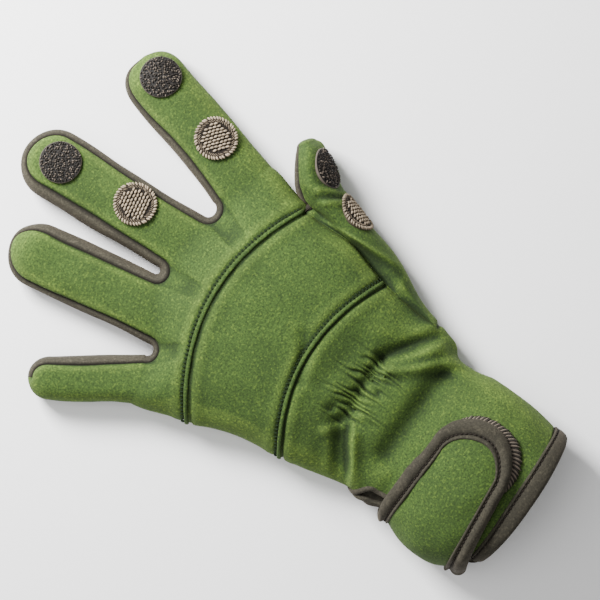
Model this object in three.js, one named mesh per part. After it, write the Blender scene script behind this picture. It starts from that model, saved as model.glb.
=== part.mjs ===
// A left-hand neoprene fishing glove with fold-back fingertips, lying palm down.
// Millimetres. Fingers point towards +Y, the thumb side is +X, the back of the hand faces +Z.
// The glove is one skin, worked out from sections, and cut into the panels that are sewn together.
import * as THREE from 'three';

// Driving dimensions
const palmWidth = 108; // across the knuckle seam
const palmLength = 114; // from the wrist to the root of the middle finger
const palmHeight = 33; // of the filled hand over the surface that it lies on
const cuffLength = 75; // from the wrist to the open end
const cuffWidth = 77;
const cuffHeight = 44;
const fingerLength = 85; // of the middle finger
const fingerWidth = 31;
const fingerHeight = 20;
const thumbHeight = 29;
const wall = 2.4; // neoprene between two layers of jersey
const palmWall = 1.6; // synthetic suede
const seamGap = 0.5; // left between panels where they are sewn
const seamTapeWidth = 3.2;
const seamTapeHeight = 0.9;
const gussetShow = 5; // of the finger gusset, seen from above, at its widest
const dotDiameter = 19; // hook-and-loop coins
const dotHeight = 1.5;
const fitGap = 0.45; // between a piece and the faceted panel that it is sewn on
const coinGap = 0.6;
const shirrReach = 8; // of the gathers above and below the elastic
const shirrDepth = 1.3;
const patchShow = 1.5; // of the hook patch round the strap's tip
const patchHeight = 1.2;
const bindingWidth = 8;
const strapWidth = 40;
const strapWall = 2.2;
const axisX = -0.0347 * palmWidth; // of the hand; the spread thumb side moves the middle of the box

// Fingers. long and wide are shares of the middle finger's length and width. A root is at a
// share of the palm's width across from the axis, and of its length up from the wrist.
// In a profile, along is a share of the length, left and right are shares of half the width,
// and the trims are shares of the gusset that shows.
const fingers = {
  index: {
    long: 0.888, wide: 0.968, across: 0.426, up: 0.921, heading: 22.3, tip: 0.8, square: 2.6,
    leftRoot: 0.075, rightRoot: 0.03, tipTrim: 0.15,
    profile: [
      { along: 0, left: 0.84, right: 1.17, leftTrim: 0.55, rightTrim: 0.8 },
      { along: 0.25, left: 0.8, right: 1.12, leftTrim: 0.72, rightTrim: 0.75 },
      { along: 0.5, left: 0.84, right: 1.08, leftTrim: 0.72, rightTrim: 0.7 },
      { along: 0.7, left: 0.92, right: 1.0, leftTrim: 0.78, rightTrim: 0.65 },
      { along: 1, left: 0.86, right: 0.95, leftTrim: 0.2, rightTrim: 0.6 },
    ],
  },
  middle: {
    long: 1, wide: 1, across: 0.134, up: 1, heading: 1, tip: 0.82, square: 2.1,
    leftRoot: 0.082, rightRoot: 0.012, tipTrim: 0.5,
    profile: [
      { along: 0, left: 0.97, right: 0.96, leftTrim: 0.8, rightTrim: 0.75 },
      { along: 0.25, left: 0.97, right: 0.94, leftTrim: 0.92, rightTrim: 0.68 },
      { along: 0.5, left: 1.0, right: 0.98, leftTrim: 1.15, rightTrim: 0.6 },
      { along: 0.75, left: 0.98, right: 1.04, leftTrim: 1.08, rightTrim: 0.58 },
      { along: 1, left: 0.96, right: 1.02, leftTrim: 0.9, rightTrim: 0.55 },
    ],
  },
  ring: {
    long: 0.853, wide: 0.968, across: -0.167, up: 0.978, heading: -3.6, tip: 0.8, square: 2,
    leftRoot: -0.055, rightRoot: 0.131, tipTrim: 0.2,
    profile: [
      { along: -0.06, left: 0.94, right: 1.0, leftTrim: 0.8, rightTrim: 0.8 },
      { along: 0.25, left: 0.93, right: 0.99, leftTrim: 0.7, rightTrim: 0.95 },
      { along: 0.5, left: 0.98, right: 0.99, leftTrim: 0.62, rightTrim: 1.05 },
      { along: 0.75, left: 1.0, right: 0.93, leftTrim: 0.5, rightTrim: 1.0 },
      { along: 1, left: 0.94, right: 0.86, leftTrim: 0.3, rightTrim: 0.5 },
    ],
  },
  little: {
    long: 0.641, wide: 0.645, across: -0.444, up: 0.86, heading: -25.6, tip: 0.82, square: 2.1,
    leftRoot: 0.15, rightRoot: 0.07, tipTrim: 0.3,
    profile: [
      { along: 0, left: 0.9, right: 1.42, leftTrim: 0.6, rightTrim: 0.65 },
      { along: 0.3, left: 0.81, right: 1.27, leftTrim: 0.6, rightTrim: 0.76 },
      { along: 0.5, left: 0.9, right: 1.16, leftTrim: 0.6, rightTrim: 0.84 },
      { along: 0.75, left: 0.97, right: 1.02, leftTrim: 0.55, rightTrim: 0.76 },
      { along: 1, left: 0.88, right: 0.9, leftTrim: 0.5, rightTrim: 0.6 },
    ],
  },
};
const fingerOrder = ['little', 'ring', 'middle', 'index'];
for (const finger of Object.values(fingers)) {
  finger.length = finger.long * fingerLength;
  finger.width = finger.wide * fingerWidth;
}
const wristY = (cuffLength - palmLength - fingerLength) / 2;

// Hand and cuff sections, from the knuckle seam to the open end. ulnar and radial are the widest
// points, across as a share of the palm's or cuff's width from the hand's axis, and along as a
// share of the palm's length above the wrist, or of the cuff's length below it. arch is how far
// the middle of the row runs ahead of its ends, as a share of the palm's width.
const handRows = [
  { name: 'knuckles', ulnar: [-0.5, 0.667], radial: [0.522, 0.667], arch: 0.165, crown: 0.93, fullness: 3.2 },
  { name: 'backMiddle', ulnar: [-0.455, 0.525], radial: [0.51, 0.53], arch: 0.16, crown: 1, fullness: 3 },
  { name: 'backLow', ulnar: [-0.436, 0.41], radial: [0.492, 0.41], arch: 0.148, crown: 1.02, fullness: 3 },
  { name: 'wristSeam', ulnar: [-0.433, 0.29], radial: [0.425, 0.265], arch: 0.128, crown: 1, fullness: 2.9 },
  { name: 'shirrTop', ulnar: [-0.424, 0.2], radial: [0.405, 0.18], arch: 0.075, crown: 0.94, fullness: 2.8 },
  { name: 'shirrLine', ulnar: [-0.41, 0.115], radial: [0.39, 0.1], arch: 0.04, crown: 0.86, fullness: 2.7 },
  { name: 'wrist', ulnar: [-0.394, 0.008], radial: [0.37, 0.008], arch: 0.02, crown: 0.9, fullness: 2.6 },
];
const cuffRows = [
  { name: 'cuffTop', ulnar: [-0.545, 0.14], radial: [0.415, 0.14], arch: 0, crown: 0.72, fullness: 2.5 },
  { name: 'cuffFold', ulnar: [-0.56, 0.29], radial: [0.39, 0.29], arch: 0, crown: 0.78, fullness: 2.4 },
  { name: 'cuffMiddle', ulnar: [-0.64, 0.53], radial: [0.4, 0.53], arch: -0.005, crown: 0.96, fullness: 2.4 },
  { name: 'cuffLower', ulnar: [-0.64, 0.78], radial: [0.355, 0.8], arch: -0.02, crown: 1, fullness: 2.4 },
  { name: 'cuffEnd', ulnar: [-0.57, 0.905], radial: [0.31, 0.965], arch: -0.045, crown: 1, fullness: 2.4 },
];

// Thumb sections, from the opening in the palm to the tip. inner and outer are the ends of each
// section, shares of the palm's width and length. crown is a share of the thumb's height, and
// lean moves the ridge towards the inner end, so that the thumb's back looks outwards.
const thumbRows = [
  { inner: [0.53, 0.695], outer: [0.417, 0.114], crown: 0.8, lean: 0 },
  { inner: [0.536, 0.712], outer: [0.481, 0.21], crown: 0.86, lean: 0.1 },
  { inner: [0.545, 0.729], outer: [0.537, 0.316], crown: 0.9, lean: 0.2 },
  { inner: [0.558, 0.747], outer: [0.579, 0.43], crown: 0.95, lean: 0.3 },
  { inner: [0.574, 0.766], outer: [0.628, 0.553], crown: 1, lean: 0.35 },
  { inner: [0.611, 0.789], outer: [0.678, 0.632], crown: 1, lean: 0.35 },
  { inner: [0.648, 0.807], outer: [0.733, 0.693], crown: 0.98, lean: 0.3 },
  { inner: [0.681, 0.823], outer: [0.766, 0.746], crown: 0.9, lean: 0.2 },
  { inner: [0.703, 0.838], outer: [0.775, 0.788], crown: 0.8, lean: 0.1 },
];
const thumbTip = [0.764, 0.843];
const thumbCapFrom = 6; // section where the fold-back tip begins

// Folds of the back. Each runs from one point to the other, shares of the palm's width and
// length from the hand's axis and the wrist. reach and lift are shares of the palm's height.
const folds = [
  { name: 'ulnar crease', from: [-0.42, 0.015], to: [-0.2, 0.125], reach: 0.1, lift: -0.073 },
  { name: 'ulnar ridge', from: [-0.42, -0.03], to: [-0.2, 0.075], reach: 0.12, lift: 0.04 },
  { name: 'radial crease', from: [0.14, 0.15], to: [0.36, -0.02], reach: 0.12, lift: -0.067 },
  { name: 'radial ridge', from: [0.12, 0.09], to: [0.28, -0.1], reach: 0.12, lift: 0.055 },
  { name: 'wrist hollow', from: [-0.24, -0.06], to: [0.12, -0.1], reach: 0.24, lift: -0.09 },
];

// Shirring over the wrist elastic, between shares of the half-width.
const shirr = { from: -0.44, to: 0.37, puckers: 14, fade: 6 };

// Hook-and-loop coins: middles as shares of a finger's length and half-width from its root, and
// on the thumb as shares of the palm's width and length.
const coins = {
  index: { hook: [0.837, 0.18], loop: [0.359, 0.373] },
  middle: { hook: [0.806, 0.148], loop: [0.36, 0.258] },
  thumb: { hook: [0.699, 0.689], loop: [0.593, 0.503] },
};

// Strap: its middle line below the wrist and its tip from the axis, shares of the cuff.
const strap = { along: 0.547, tip: 0.175 };

// Angles round a section: 0 is the crown, 90 the radial side, -90 the ulnar side, 180 the sole.
const shoulder = 58; // where the back turns into its side
const seamUnder = 116; // of the seam between back and palm
const thumbTop = 75; // upper edge of the thumb's opening
const thumbUnder = 128; // lower edge of the thumb's opening
const slitBack = 66; // free edge of the cuff's back at the ulnar slit
const slitPalm = 76; // free edge of the cuff's palm side there
const strapStart = 112; // where the strap is sewn on, under the ulnar side
const soleFlat = 0.6; // share of the half-width that lies flat
const widest = 0.37; // height of the widest point, as a share of the crown
const sideTurn = 30; // how far in from the side the sole's columns move at the cuff
const thumbShoulder = 60;
const thumbWidest = 0.42;
const fingerWidest = 0.48;
const fingerFullness = 2.6;
const crownTaper = 0.12; // of a finger, from its root to its tip
const underRho = 0.9; // where a finger's side meets its palm side
const fingerCapFrom = 5; // outline step where a fold-back tip begins
const crotchDepth = 0.9;
const coinProbe = dotDiameter / 4; // how far round a point the skin's slope is felt

// Faceting
const alongFinger = 6;
const roundTip = 6;
const acrossHalf = 3;
const roundSide = 4;
const roundCrotch = 3;
const palmSteps = 3;
const middleSteps = 3;
const wristSteps = 6;
const soleSteps = 6;
const cuffPalmSteps = 3;
const plainColumns = 3;
const openingSteps = 12;
const strapColumns = 10;
const tapeStep = 0.5;
const halvings = 24;
const coinRings = 3;
const coinSides = 14;

const radians = (degrees) => (degrees * Math.PI) / 180;
const degreesOf = (share) => (Math.asin(share) * 180) / Math.PI;
const mix = (a, b, t) => a + (b - a) * t;
const point = (x = 0, y = 0, z = 0) => new THREE.Vector3(x, y, z);
const span = (from, to, steps) => Array.from({ length: steps + 1 }, (_, i) => mix(from, to, i / steps));
const reversed = (list) => [...list].reverse();
const toX = (share) => axisX + share * palmWidth;
const toY = (share) => wristY + share * palmLength;

// Smooth value of one column of a table at a place along its rows.
function ease(values, places, at) {
  let i = 0;
  while (i < places.length - 2 && at > places[i + 1]) i += 1;
  const before = Math.max(i - 1, 0);
  const after = Math.min(i + 2, places.length - 1);
  const step = places[i + 1] - places[i];
  const t = Math.min(Math.max((at - places[i]) / step, 0), 1);
  const leave = ((values[i + 1] - values[before]) / (places[i + 1] - places[before])) * step;
  const arrive = ((values[after] - values[i]) / (places[after] - places[i])) * step;
  return hermite(values[i], values[i + 1], leave, arrive, t);
}
const hermite = (a, b, leave, arrive, t) => (1 + 2 * t) * (1 - t) ** 2 * a + t * (1 - t) ** 2 * leave
  + t * t * (3 - 2 * t) * b + t * t * (t - 1) * arrive;

// Height shares of a section: a dome over the widest line, and a flat sole with round corners.
const dome = (share, fullness) => Math.sqrt(Math.max(0, 1 - Math.abs(share) ** fullness));
function soleRise(share) {
  const corner = Math.max(0, (Math.abs(share) - soleFlat) / (1 - soleFlat));
  return 1 - Math.sqrt(Math.max(0, 1 - corner * corner));
}

// Lift of the folds above the plain dome, and of the gathers at the elastic.
function foldLift(x, y) {
  let lift = 0;
  for (const fold of folds) {
    const from = [toX(fold.from[0]), toY(fold.from[1])];
    const run = [toX(fold.to[0]) - from[0], toY(fold.to[1]) - from[1]];
    const along = ((x - from[0]) * run[0] + (y - from[1]) * run[1]) / (run[0] ** 2 + run[1] ** 2);
    const near = Math.min(Math.max(along, 0), 1);
    const away = Math.hypot(x - from[0] - near * run[0], y - from[1] - near * run[1]);
    lift += fold.lift * palmHeight * Math.exp(-((away / (fold.reach * palmHeight)) ** 2));
  }
  return lift;
}
function gatherLift(share, distance) {
  const through = (share - shirr.from) / (shirr.to - shirr.from);
  if (through < 0 || through > 1) return 0;
  const near = Math.exp(-((distance / shirrReach) ** 2));
  const ends = Math.min(1, shirr.fade * through, shirr.fade * (1 - through));
  return near * ends * shirrDepth * (Math.cos(2 * Math.PI * shirr.puckers * through) - 1) * 0.5;
}

// The hand and cuff are one tube, from the knuckle seam (station 0) to the cuff's end.
const stations = [
  ...handRows.map((row) => ({
    ...row,
    ulnar: [toX(row.ulnar[0]), toY(row.ulnar[1])],
    radial: [toX(row.radial[0]), toY(row.radial[1])],
    crown: row.crown * palmHeight,
  })),
  ...cuffRows.map((row) => ({
    ...row,
    ulnar: [axisX + row.ulnar[0] * cuffWidth, wristY - row.ulnar[1] * cuffLength],
    radial: [axisX + row.radial[0] * cuffWidth, wristY - row.radial[1] * cuffLength],
    crown: row.crown * cuffHeight,
  })),
];
const stationOf = (name) => stations.findIndex((row) => row.name === name);
const knuckle = stationOf('knuckles');
const wristSeam = stationOf('wristSeam');
const elastic = stationOf('shirrLine');
const wrist = stationOf('wrist');
const cuffEnd = stationOf('cuffEnd');
const lastRow = cuffLength * (cuffRows.at(-1).radial[1] - cuffRows.at(-2).radial[1]);
const hem = cuffEnd - bindingWidth / lastRow;
const elasticRow = palmLength * (handRows.at(-2).ulnar[1] - handRows.at(-1).ulnar[1]);
const places = stations.map((_, i) => i);
const columns = {
  ulnarX: stations.map((row) => row.ulnar[0]),
  ulnarY: stations.map((row) => row.ulnar[1]),
  radialX: stations.map((row) => row.radial[0]),
  radialY: stations.map((row) => row.radial[1]),
  arch: stations.map((row) => row.arch * palmWidth),
  crown: stations.map((row) => row.crown),
  fullness: stations.map((row) => row.fullness),
};
function handPoint(station, degrees) {
  const at = {};
  for (const [key, values] of Object.entries(columns)) at[key] = ease(values, places, station);
  const share = Math.sin(radians(degrees));
  const x = mix(at.ulnarX, at.radialX, (share + 1) / 2);
  const y = mix(at.ulnarY, at.radialY, (share + 1) / 2) + at.arch * (1 - share * share);
  const side = at.crown * widest;
  if (Math.cos(radians(degrees)) < 0) return point(x, y, side * soleRise(share));
  const plain = side + (at.crown - side) * dome(share, at.fullness);
  const fade = Math.sqrt(Math.cos(radians(degrees)));
  const folded = station > knuckle ? foldLift(x, y) : 0;
  const line = station > wristSeam ? gatherLift(share, (station - elastic) * elasticRow) : 0;
  return point(x, y, plain + fade * (folded + line));
}

// A finger as a swollen outline. Steps run from the left root round the tip to the right root;
// rho is 0 on the spine and 1 on the outline.
const columnOf = (finger, key, along) => ease(
  finger.profile.map((row) => row[key]),
  finger.profile.map((row) => row.along),
  along,
);
function fingerPlan(finger, along, lateral) {
  const turn = radians(finger.heading);
  const x = toX(finger.across) + Math.sin(turn) * along + Math.cos(turn) * lateral;
  const y = toY(finger.up) + Math.cos(turn) * along - Math.sin(turn) * lateral;
  return [x, y];
}
const leftSteps = span(0, 1, alongFinger).slice(0, -1).map((m) => ({ side: -1, m }));
const tipSteps = span(-90, 90, roundTip).map((turn) => ({ turn }));
const rightSteps = span(1, 0, alongFinger).slice(1).map((m) => ({ side: 1, m }));
const steps = [...leftSteps, ...tipSteps, ...rightSteps];
const tipStep = steps.findIndex((step) => step.turn === 0);
function fingerStation(finger, step) {
  const half = finger.width / 2;
  const round = finger.tip * finger.length;
  if (step.turn === undefined) {
    const root = (step.side < 0 ? finger.leftRoot : finger.rightRoot) * finger.length;
    const middleRoot = ((finger.leftRoot + finger.rightRoot) / 2) * finger.length;
    const along = mix(root, round, step.m);
    const key = step.side < 0 ? 'left' : 'right';
    return {
      edge: [along, step.side * half * columnOf(finger, key, along / finger.length)],
      spine: [mix(middleRoot, round, step.m), 0],
      trim: gussetShow * columnOf(finger, `${key}Trim`, along / finger.length),
    };
  }
  const key = step.turn < 0 ? 'left' : 'right';
  const sin = Math.sin(radians(step.turn));
  const cos = Math.cos(radians(step.turn));
  const power = finger.square;
  const reach = (Math.abs(sin) ** power + Math.abs(cos) ** power) ** (-1 / power);
  const width = half * columnOf(finger, key, finger.tip);
  const sideTrim = columnOf(finger, `${key}Trim`, finger.tip);
  return {
    edge: [round + (finger.length - round) * cos * reach, width * sin * reach],
    spine: [round, 0],
    trim: gussetShow * mix(finger.tipTrim, sideTrim, sin * sin),
  };
}
function fingerPoint(finger, step, rho, under) {
  const at = fingerStation(finger, step);
  const along = mix(at.spine[0], at.edge[0], rho);
  const lateral = mix(at.spine[1], at.edge[1], rho);
  const crown = fingerHeight * (1 - crownTaper * Math.max(along, 0) / finger.length);
  const side = crown * fingerWidest;
  const height = under ? side * soleRise(rho) : side + (crown - side) * dome(rho, fingerFullness);
  const [x, y] = fingerPlan(finger, along, lateral);
  return point(x, y, height);
}
const mostTrim = 0.8; // share of the way to the middle that a seam may keep off the edge
function seamRho(finger, step) {
  const at = fingerStation(finger, step);
  const reach = Math.hypot(at.edge[0] - at.spine[0], at.edge[1] - at.spine[1]);
  return 1 - Math.min(at.trim / reach, mostTrim);
}
const fingerTop = (finger, list) => list.map((step) => (
  span(seamRho(finger, step), 0, acrossHalf).map((rho) => fingerPoint(finger, step, rho, false))
));
const fingerSide = (finger, list) => list.map((step) => [
  ...span(0, 1, roundSide / 2).map((t) => (
    fingerPoint(finger, step, mix(seamRho(finger, step), 1, 1 - (1 - t) ** 2), false)
  )),
  ...span(1, underRho, roundSide / 2).slice(1).map((rho) => fingerPoint(finger, step, rho, true)),
]);
const fingerUnder = (finger, list) => list.map((step) => (
  span(underRho, 0, acrossHalf - 1).map((rho) => fingerPoint(finger, step, rho, true))
));

// A crotch turns from one finger's side to the next one's: each point runs round half an ellipse.
function crotchRows(fromRow, toRow) {
  return span(0, 180, roundCrotch).map((turn) => fromRow.map((from, i) => {
    const half = point().subVectors(from, toRow[i]).multiplyScalar(0.5);
    const back = point(half.y, -half.x, 0);
    if (back.y > 0) back.negate();
    return point()
      .addVectors(from, toRow[i])
      .multiplyScalar(0.5)
      .addScaledVector(half, Math.cos(radians(turn)))
      .addScaledVector(back, crotchDepth * Math.sin(radians(turn)));
  }));
}

// A smooth strip between two rows of points, which leaves and arrives towards the wrist.
function bridge(fromRow, toRow, count) {
  return span(0, 1, count).map((t) => fromRow.map((from, i) => {
    const to = toRow[i];
    const reach = from.distanceTo(to);
    const y = hermite(from.y, to.y, -reach, -reach, t);
    return point(hermite(from.x, to.x, 0, 0, t), y, hermite(from.z, to.z, 0, 0, t));
  }));
}

// A thumb section is a loop: 0 is its ridge, 90 its outer end, 180 its sole, 270 its inner end.
function thumbPoint(row, degrees) {
  const share = Math.sin(radians(degrees));
  const x = toX(mix(row.inner[0], row.outer[0], (share + 1) / 2));
  const y = toY(mix(row.inner[1], row.outer[1], (share + 1) / 2));
  const crown = row.crown * thumbHeight;
  const side = crown * thumbWidest;
  if (Math.cos(radians(degrees)) < 0) return point(x, y, side * soleRise(share));
  const leaning = share + row.lean * (1 - share * share);
  return point(x, y, side + (crown - side) * dome(leaning, 2));
}

// A sheet is a surface without thickness: points, and triangles that look outwards.
const weldSteps = 2000; // in a millimetre: corners that round to one step are one corner
const keyOf = (p) => [p.x, p.y, p.z].map((n) => Math.round(n * weldSteps)).join();
class Sheet {
  constructor() {
    this.points = [];
    this.faces = [];
    this.index = new Map();
  }

  vertex(p) {
    const key = keyOf(p);
    if (!this.index.has(key)) {
      this.index.set(key, this.points.length);
      this.points.push(p.clone());
    }
    return this.index.get(key);
  }

  face(...corners) {
    if (new Set(corners).size === 3) this.faces.push(corners);
  }

  // Adds a grid of points; flip turns its faces round.
  add(rows, flip = false) {
    const ids = rows.map((row) => row.map((p) => this.vertex(p)));
    for (let i = 0; i + 1 < ids.length; i += 1) {
      for (let j = 0; j + 1 < ids[i].length; j += 1) {
        const quad = [ids[i][j], ids[i][j + 1], ids[i + 1][j + 1], ids[i + 1][j]];
        if (flip) quad.reverse();
        this.face(quad[0], quad[1], quad[2]);
        this.face(quad[0], quad[2], quad[3]);
      }
    }
    return this;
  }
}
const sheetOf = (rows, flip) => new Sheet().add(rows, flip);

// Neighbouring panels share one normal at each point, so that their edges stay parallel.
function sharedNormals(sheets) {
  const normals = new Map();
  for (const sheet of sheets) {
    for (const face of sheet.faces) {
      const [a, b, c] = face.map((i) => sheet.points[i]);
      const normal = point().subVectors(b, a).cross(point().subVectors(c, a));
      for (const p of [a, b, c]) {
        const key = keyOf(p);
        if (!normals.has(key)) normals.set(key, point());
        normals.get(key).add(normal);
      }
    }
  }
  for (const normal of normals.values()) normal.normalize();
  return normals;
}

// Gives a sheet its wall, from near to far along its normals, with its rim drawn in by pull.
const sharpest = 0.4; // least share of the pull that a corner of the rim lets through
function thicken(sheet, normals, near, far, pull = seamGap / 2) {
  const rim = new Map();
  for (const [a, b, c] of sheet.faces) {
    for (const [from, to] of [[a, b], [b, c], [c, a]]) {
      if (rim.has(`${to},${from}`)) rim.delete(`${to},${from}`);
      else rim.set(`${from},${to}`, [from, to]);
    }
  }
  const normalOf = sheet.points.map((p) => normals.get(keyOf(p)));
  const inwards = sheet.points.map(() => []);
  for (const [from, to] of rim.values()) {
    const along = point().subVectors(sheet.points[to], sheet.points[from]).normalize();
    for (const i of [from, to]) inwards[i].push(point().crossVectors(normalOf[i], along).normalize());
  }
  const drawn = sheet.points.map((p, i) => {
    if (!inwards[i].length) return p;
    const sum = inwards[i].reduce((total, v) => total.add(v), point()).normalize();
    const corner = Math.max(sharpest, sum.dot(inwards[i].at(-1)));
    return p.clone().addScaledVector(sum, pull / corner);
  });
  const offset = (p, i, depth) => {
    const q = p.clone().addScaledVector(normalOf[i], depth);
    return q.setZ(Math.max(q.z, 0)); // the cloth lies flat on the surface
  };
  const outer = drawn.map((p, i) => offset(p, i, far));
  const inner = drawn.map((p, i) => offset(p, i, near));
  const count = drawn.length;
  const corners = sheet.faces.flatMap(([a, b, c]) => [a, b, c, c + count, b + count, a + count]);
  for (const [from, to] of rim.values()) {
    corners.push(to, from, from + count, to, from + count, to + count);
  }
  const geometry = new THREE.BufferGeometry();
  const positions = [...outer, ...inner].flatMap((p) => [p.x, p.y, p.z]);
  geometry.setAttribute('position', new THREE.Float32BufferAttribute(positions, 3));
  geometry.setIndex(corners);
  geometry.computeVertexNormals();
  return geometry;
}

// Rows across the roots of the fingers, from the ulnar edge to the radial one.
const first = steps[0];
const last = steps[steps.length - 1];
const half = (make, name, step) => make(fingers[name], [step])[0];
const across = (make, name) => [
  ...half(make, name, first),
  ...reversed(half(make, name, last)).slice(1),
];
const crotches = [['little', 'ring'], ['ring', 'middle'], ['middle', 'index']].map(([left, right]) => ({
  left,
  right,
  rows: crotchRows(half(fingerSide, left, last), half(fingerSide, right, first)),
}));
function acrossRoots(make, pick) {
  const row = [...across(make, 'little')];
  for (const crotch of crotches) {
    row.push(...crotch.rows.slice(1).map(pick));
    row.push(...across(make, crotch.right).slice(1));
  }
  return row;
}
const topRoots = acrossRoots(fingerTop, (row) => row[0]);
const underRoots = acrossRoots(fingerUnder, (row) => row[row.length - 1]);

// Angles of the columns of the hand's rows. They follow the roots' own places across.
const sine = (degrees) => Math.sin(radians(degrees));
function anglesLike(row, fromShare, toShare) {
  const [a, b] = [row[0].x, row[row.length - 1].x];
  return row.map((p) => degreesOf(mix(fromShare, toShare, (p.x - a) / (b - a))));
}
const backAngles = anglesLike(topRoots, -sine(shoulder), sine(shoulder));
const ulnarAngles = span(-shoulder, -seamUnder, roundSide);
const radialAngles = [shoulder, ...span(thumbTop, thumbUnder, roundSide - 1)];
const soleAngles = anglesLike(underRoots, -sine(seamUnder), sine(thumbUnder)).map((a) => -180 - a);
const middleAngles = [...reversed(ulnarAngles), ...backAngles.slice(1), thumbTop];
const wristAngles = [
  ...reversed(ulnarAngles),
  ...span(-sine(shoulder), shirr.from, plainColumns).slice(1).map(degreesOf),
  ...span(shirr.from, shirr.to, 2 * shirr.puckers).slice(1).map(degreesOf),
  ...span(shirr.to, sine(shoulder), plainColumns).slice(1).map(degreesOf),
  thumbTop,
];
const handRow = (station, angles) => angles.map((angle) => handPoint(station, angle));
const handGrid = (from, to, rows, angles) => span(from, to, rows).map((s) => handRow(s, angles));

// Below the wrist the ulnar edges part at the slit, and the radial seam turns under the hand.
function stretch(angle, fixed, from, to, open) {
  const t = (angle - fixed) / (from - fixed);
  return t <= 0 ? angle : mix(angle, mix(fixed, to, t), open);
}
function backCuffAngle(station, angle) {
  const open = Math.min(station - wrist, 1);
  const slit = stretch(angle, -shoulder, -seamUnder, -slitBack, open);
  return stretch(slit, shoulder, thumbUnder, seamUnder, open);
}
function palmCuffAngle(station, angle) {
  const open = Math.min(station - wrist, 1);
  const slit = stretch(angle, -180 + sideTurn, -seamUnder, -slitPalm, open);
  return stretch(slit, -180 - sideTurn, thumbUnder - 360, seamUnder - 360, open);
}
const cuffRowOf = (station, angles, turn) => (
  angles.map((angle) => handPoint(station, turn(station, angle)))
);
const cuffStations = [...span(wrist, cuffEnd - 1, cuffEnd - 1 - wrist), hem];
const cuffGrid = (angles, turn) => cuffStations.map((station) => cuffRowOf(station, angles, turn));

// Panels
const sheets = {};
const leftHalf = steps.slice(0, tipStep + 1);
const rightHalf = steps.slice(tipStep);
const sideOf = (name, list) => fingerSide(fingers[name], list);
const topBridge = bridge(topRoots, handRow(knuckle, backAngles), palmSteps);
const ulnarBridge = bridge(half(fingerSide, 'little', first), handRow(knuckle, ulnarAngles), palmSteps);
const radialBridge = bridge(half(fingerSide, 'index', last), handRow(knuckle, radialAngles), palmSteps);

sheets.back_finger_panel = new Sheet();
for (const name of fingerOrder) sheets.back_finger_panel.add(fingerTop(fingers[name], steps));
sheets.back_finger_panel
  .add(sideOf('little', leftHalf), true)
  .add(sideOf('index', rightHalf), true)
  .add(topBridge, true)
  .add(ulnarBridge)
  .add(radialBridge, true);
sheets.back_middle_panel = sheetOf(handGrid(knuckle, wristSeam, middleSteps, middleAngles), true);
const cuffBackAngles = [...wristAngles, ...radialAngles.slice(2)];
sheets.back_wrist_panel = sheetOf(handGrid(wristSeam, wrist, wristSteps, wristAngles), true)
  .add(cuffGrid(cuffBackAngles, backCuffAngle), true);

for (const crotch of crotches) {
  sheets[`gusset_${crotch.left}_${crotch.right}`] = sheetOf([
    ...sideOf(crotch.left, rightHalf),
    ...crotch.rows.slice(1),
    ...sideOf(crotch.right, leftHalf).slice(1),
  ], true);
}

sheets.palm_panel = new Sheet();
sheets.palm_panel
  .add(bridge(underRoots, handRow(knuckle, soleAngles), palmSteps))
  .add(handGrid(knuckle, wrist, soleSteps, soleAngles));
for (const name of fingerOrder) {
  const under = fingerUnder(fingers[name], steps);
  if (!coins[name]) {
    sheets.palm_panel.add(under, true);
  } else {
    const capEnd = steps.length - 1 - fingerCapFrom;
    sheets.palm_panel.add(under.slice(0, fingerCapFrom + 1), true).add(under.slice(capEnd), true);
    sheets[`${name}_cap_underside`] = sheetOf(under.slice(fingerCapFrom, capEnd + 1), true);
  }
}
const cuffPalmAngles = [
  ...span(-seamUnder, -180 + sideTurn, 2 * cuffPalmSteps),
  ...span(-180 + sideTurn, -180 - sideTurn, cuffPalmSteps).slice(1),
  ...span(-180 - sideTurn, thumbUnder - 360, cuffPalmSteps).slice(1),
];
sheets.cuff_palm_panel = sheetOf(cuffGrid(cuffPalmAngles, palmCuffAngle));
sheets.cuff_binding = sheetOf([hem, cuffEnd].map((station) => [
  ...cuffRowOf(station, cuffBackAngles, backCuffAngle),
  ...reversed(cuffRowOf(station, cuffPalmAngles, palmCuffAngle)).slice(1),
]), true);

// The thumb grows out of the opening between the back's radial edge and the palm's.
const edgeOf = (from, to, rows, angle, count) => {
  const corners = span(from, to, rows).map((station) => handPoint(station, angle));
  return span(0, rows, count).map((at) => {
    const i = Math.min(Math.floor(at), rows - 1);
    return corners[i].clone().lerp(corners[i + 1], at - i);
  });
};
const opening = [
  ...edgeOf(knuckle, wristSeam, middleSteps, thumbTop, openingSteps / 2),
  ...edgeOf(wristSeam, wrist, wristSteps, thumbTop, openingSteps / 2).slice(1),
  ...radialAngles.slice(2).map((angle) => handPoint(wrist, angle)),
  ...edgeOf(wrist, knuckle, soleSteps, thumbUnder, openingSteps).slice(1),
  ...reversed(radialAngles.slice(1, -1)).map((angle) => handPoint(knuckle, angle)),
];
const flank = sine(thumbShoulder);
const loopAngles = [
  ...span(-flank, flank, openingSteps).map(degreesOf),
  ...span(thumbShoulder, 180 - thumbShoulder, roundSide - 1).slice(1),
  ...span(flank, -flank, openingSteps).slice(1).map((share) => 180 - degreesOf(share)),
  ...span(180 + thumbShoulder, 360 - thumbShoulder, roundSide - 1).slice(1),
];
const tipHeight = thumbHeight * thumbRows.at(-1).crown * thumbWidest;
const tip = point(toX(thumbTip[0]), toY(thumbTip[1]), tipHeight);
const thumbLoops = [
  opening,
  ...thumbRows.map((row) => loopAngles.map((angle) => thumbPoint(row, angle))),
  loopAngles.map(() => tip),
];
const backEnd = openingSteps + roundSide - 1;
const thumbPart = (rows, from, to) => rows.map((row) => row.slice(from, to));
sheets.thumb_back = sheetOf(thumbPart(thumbLoops, 0, backEnd + 1))
  .add(thumbPart(thumbLoops.slice(-2), backEnd));
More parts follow.
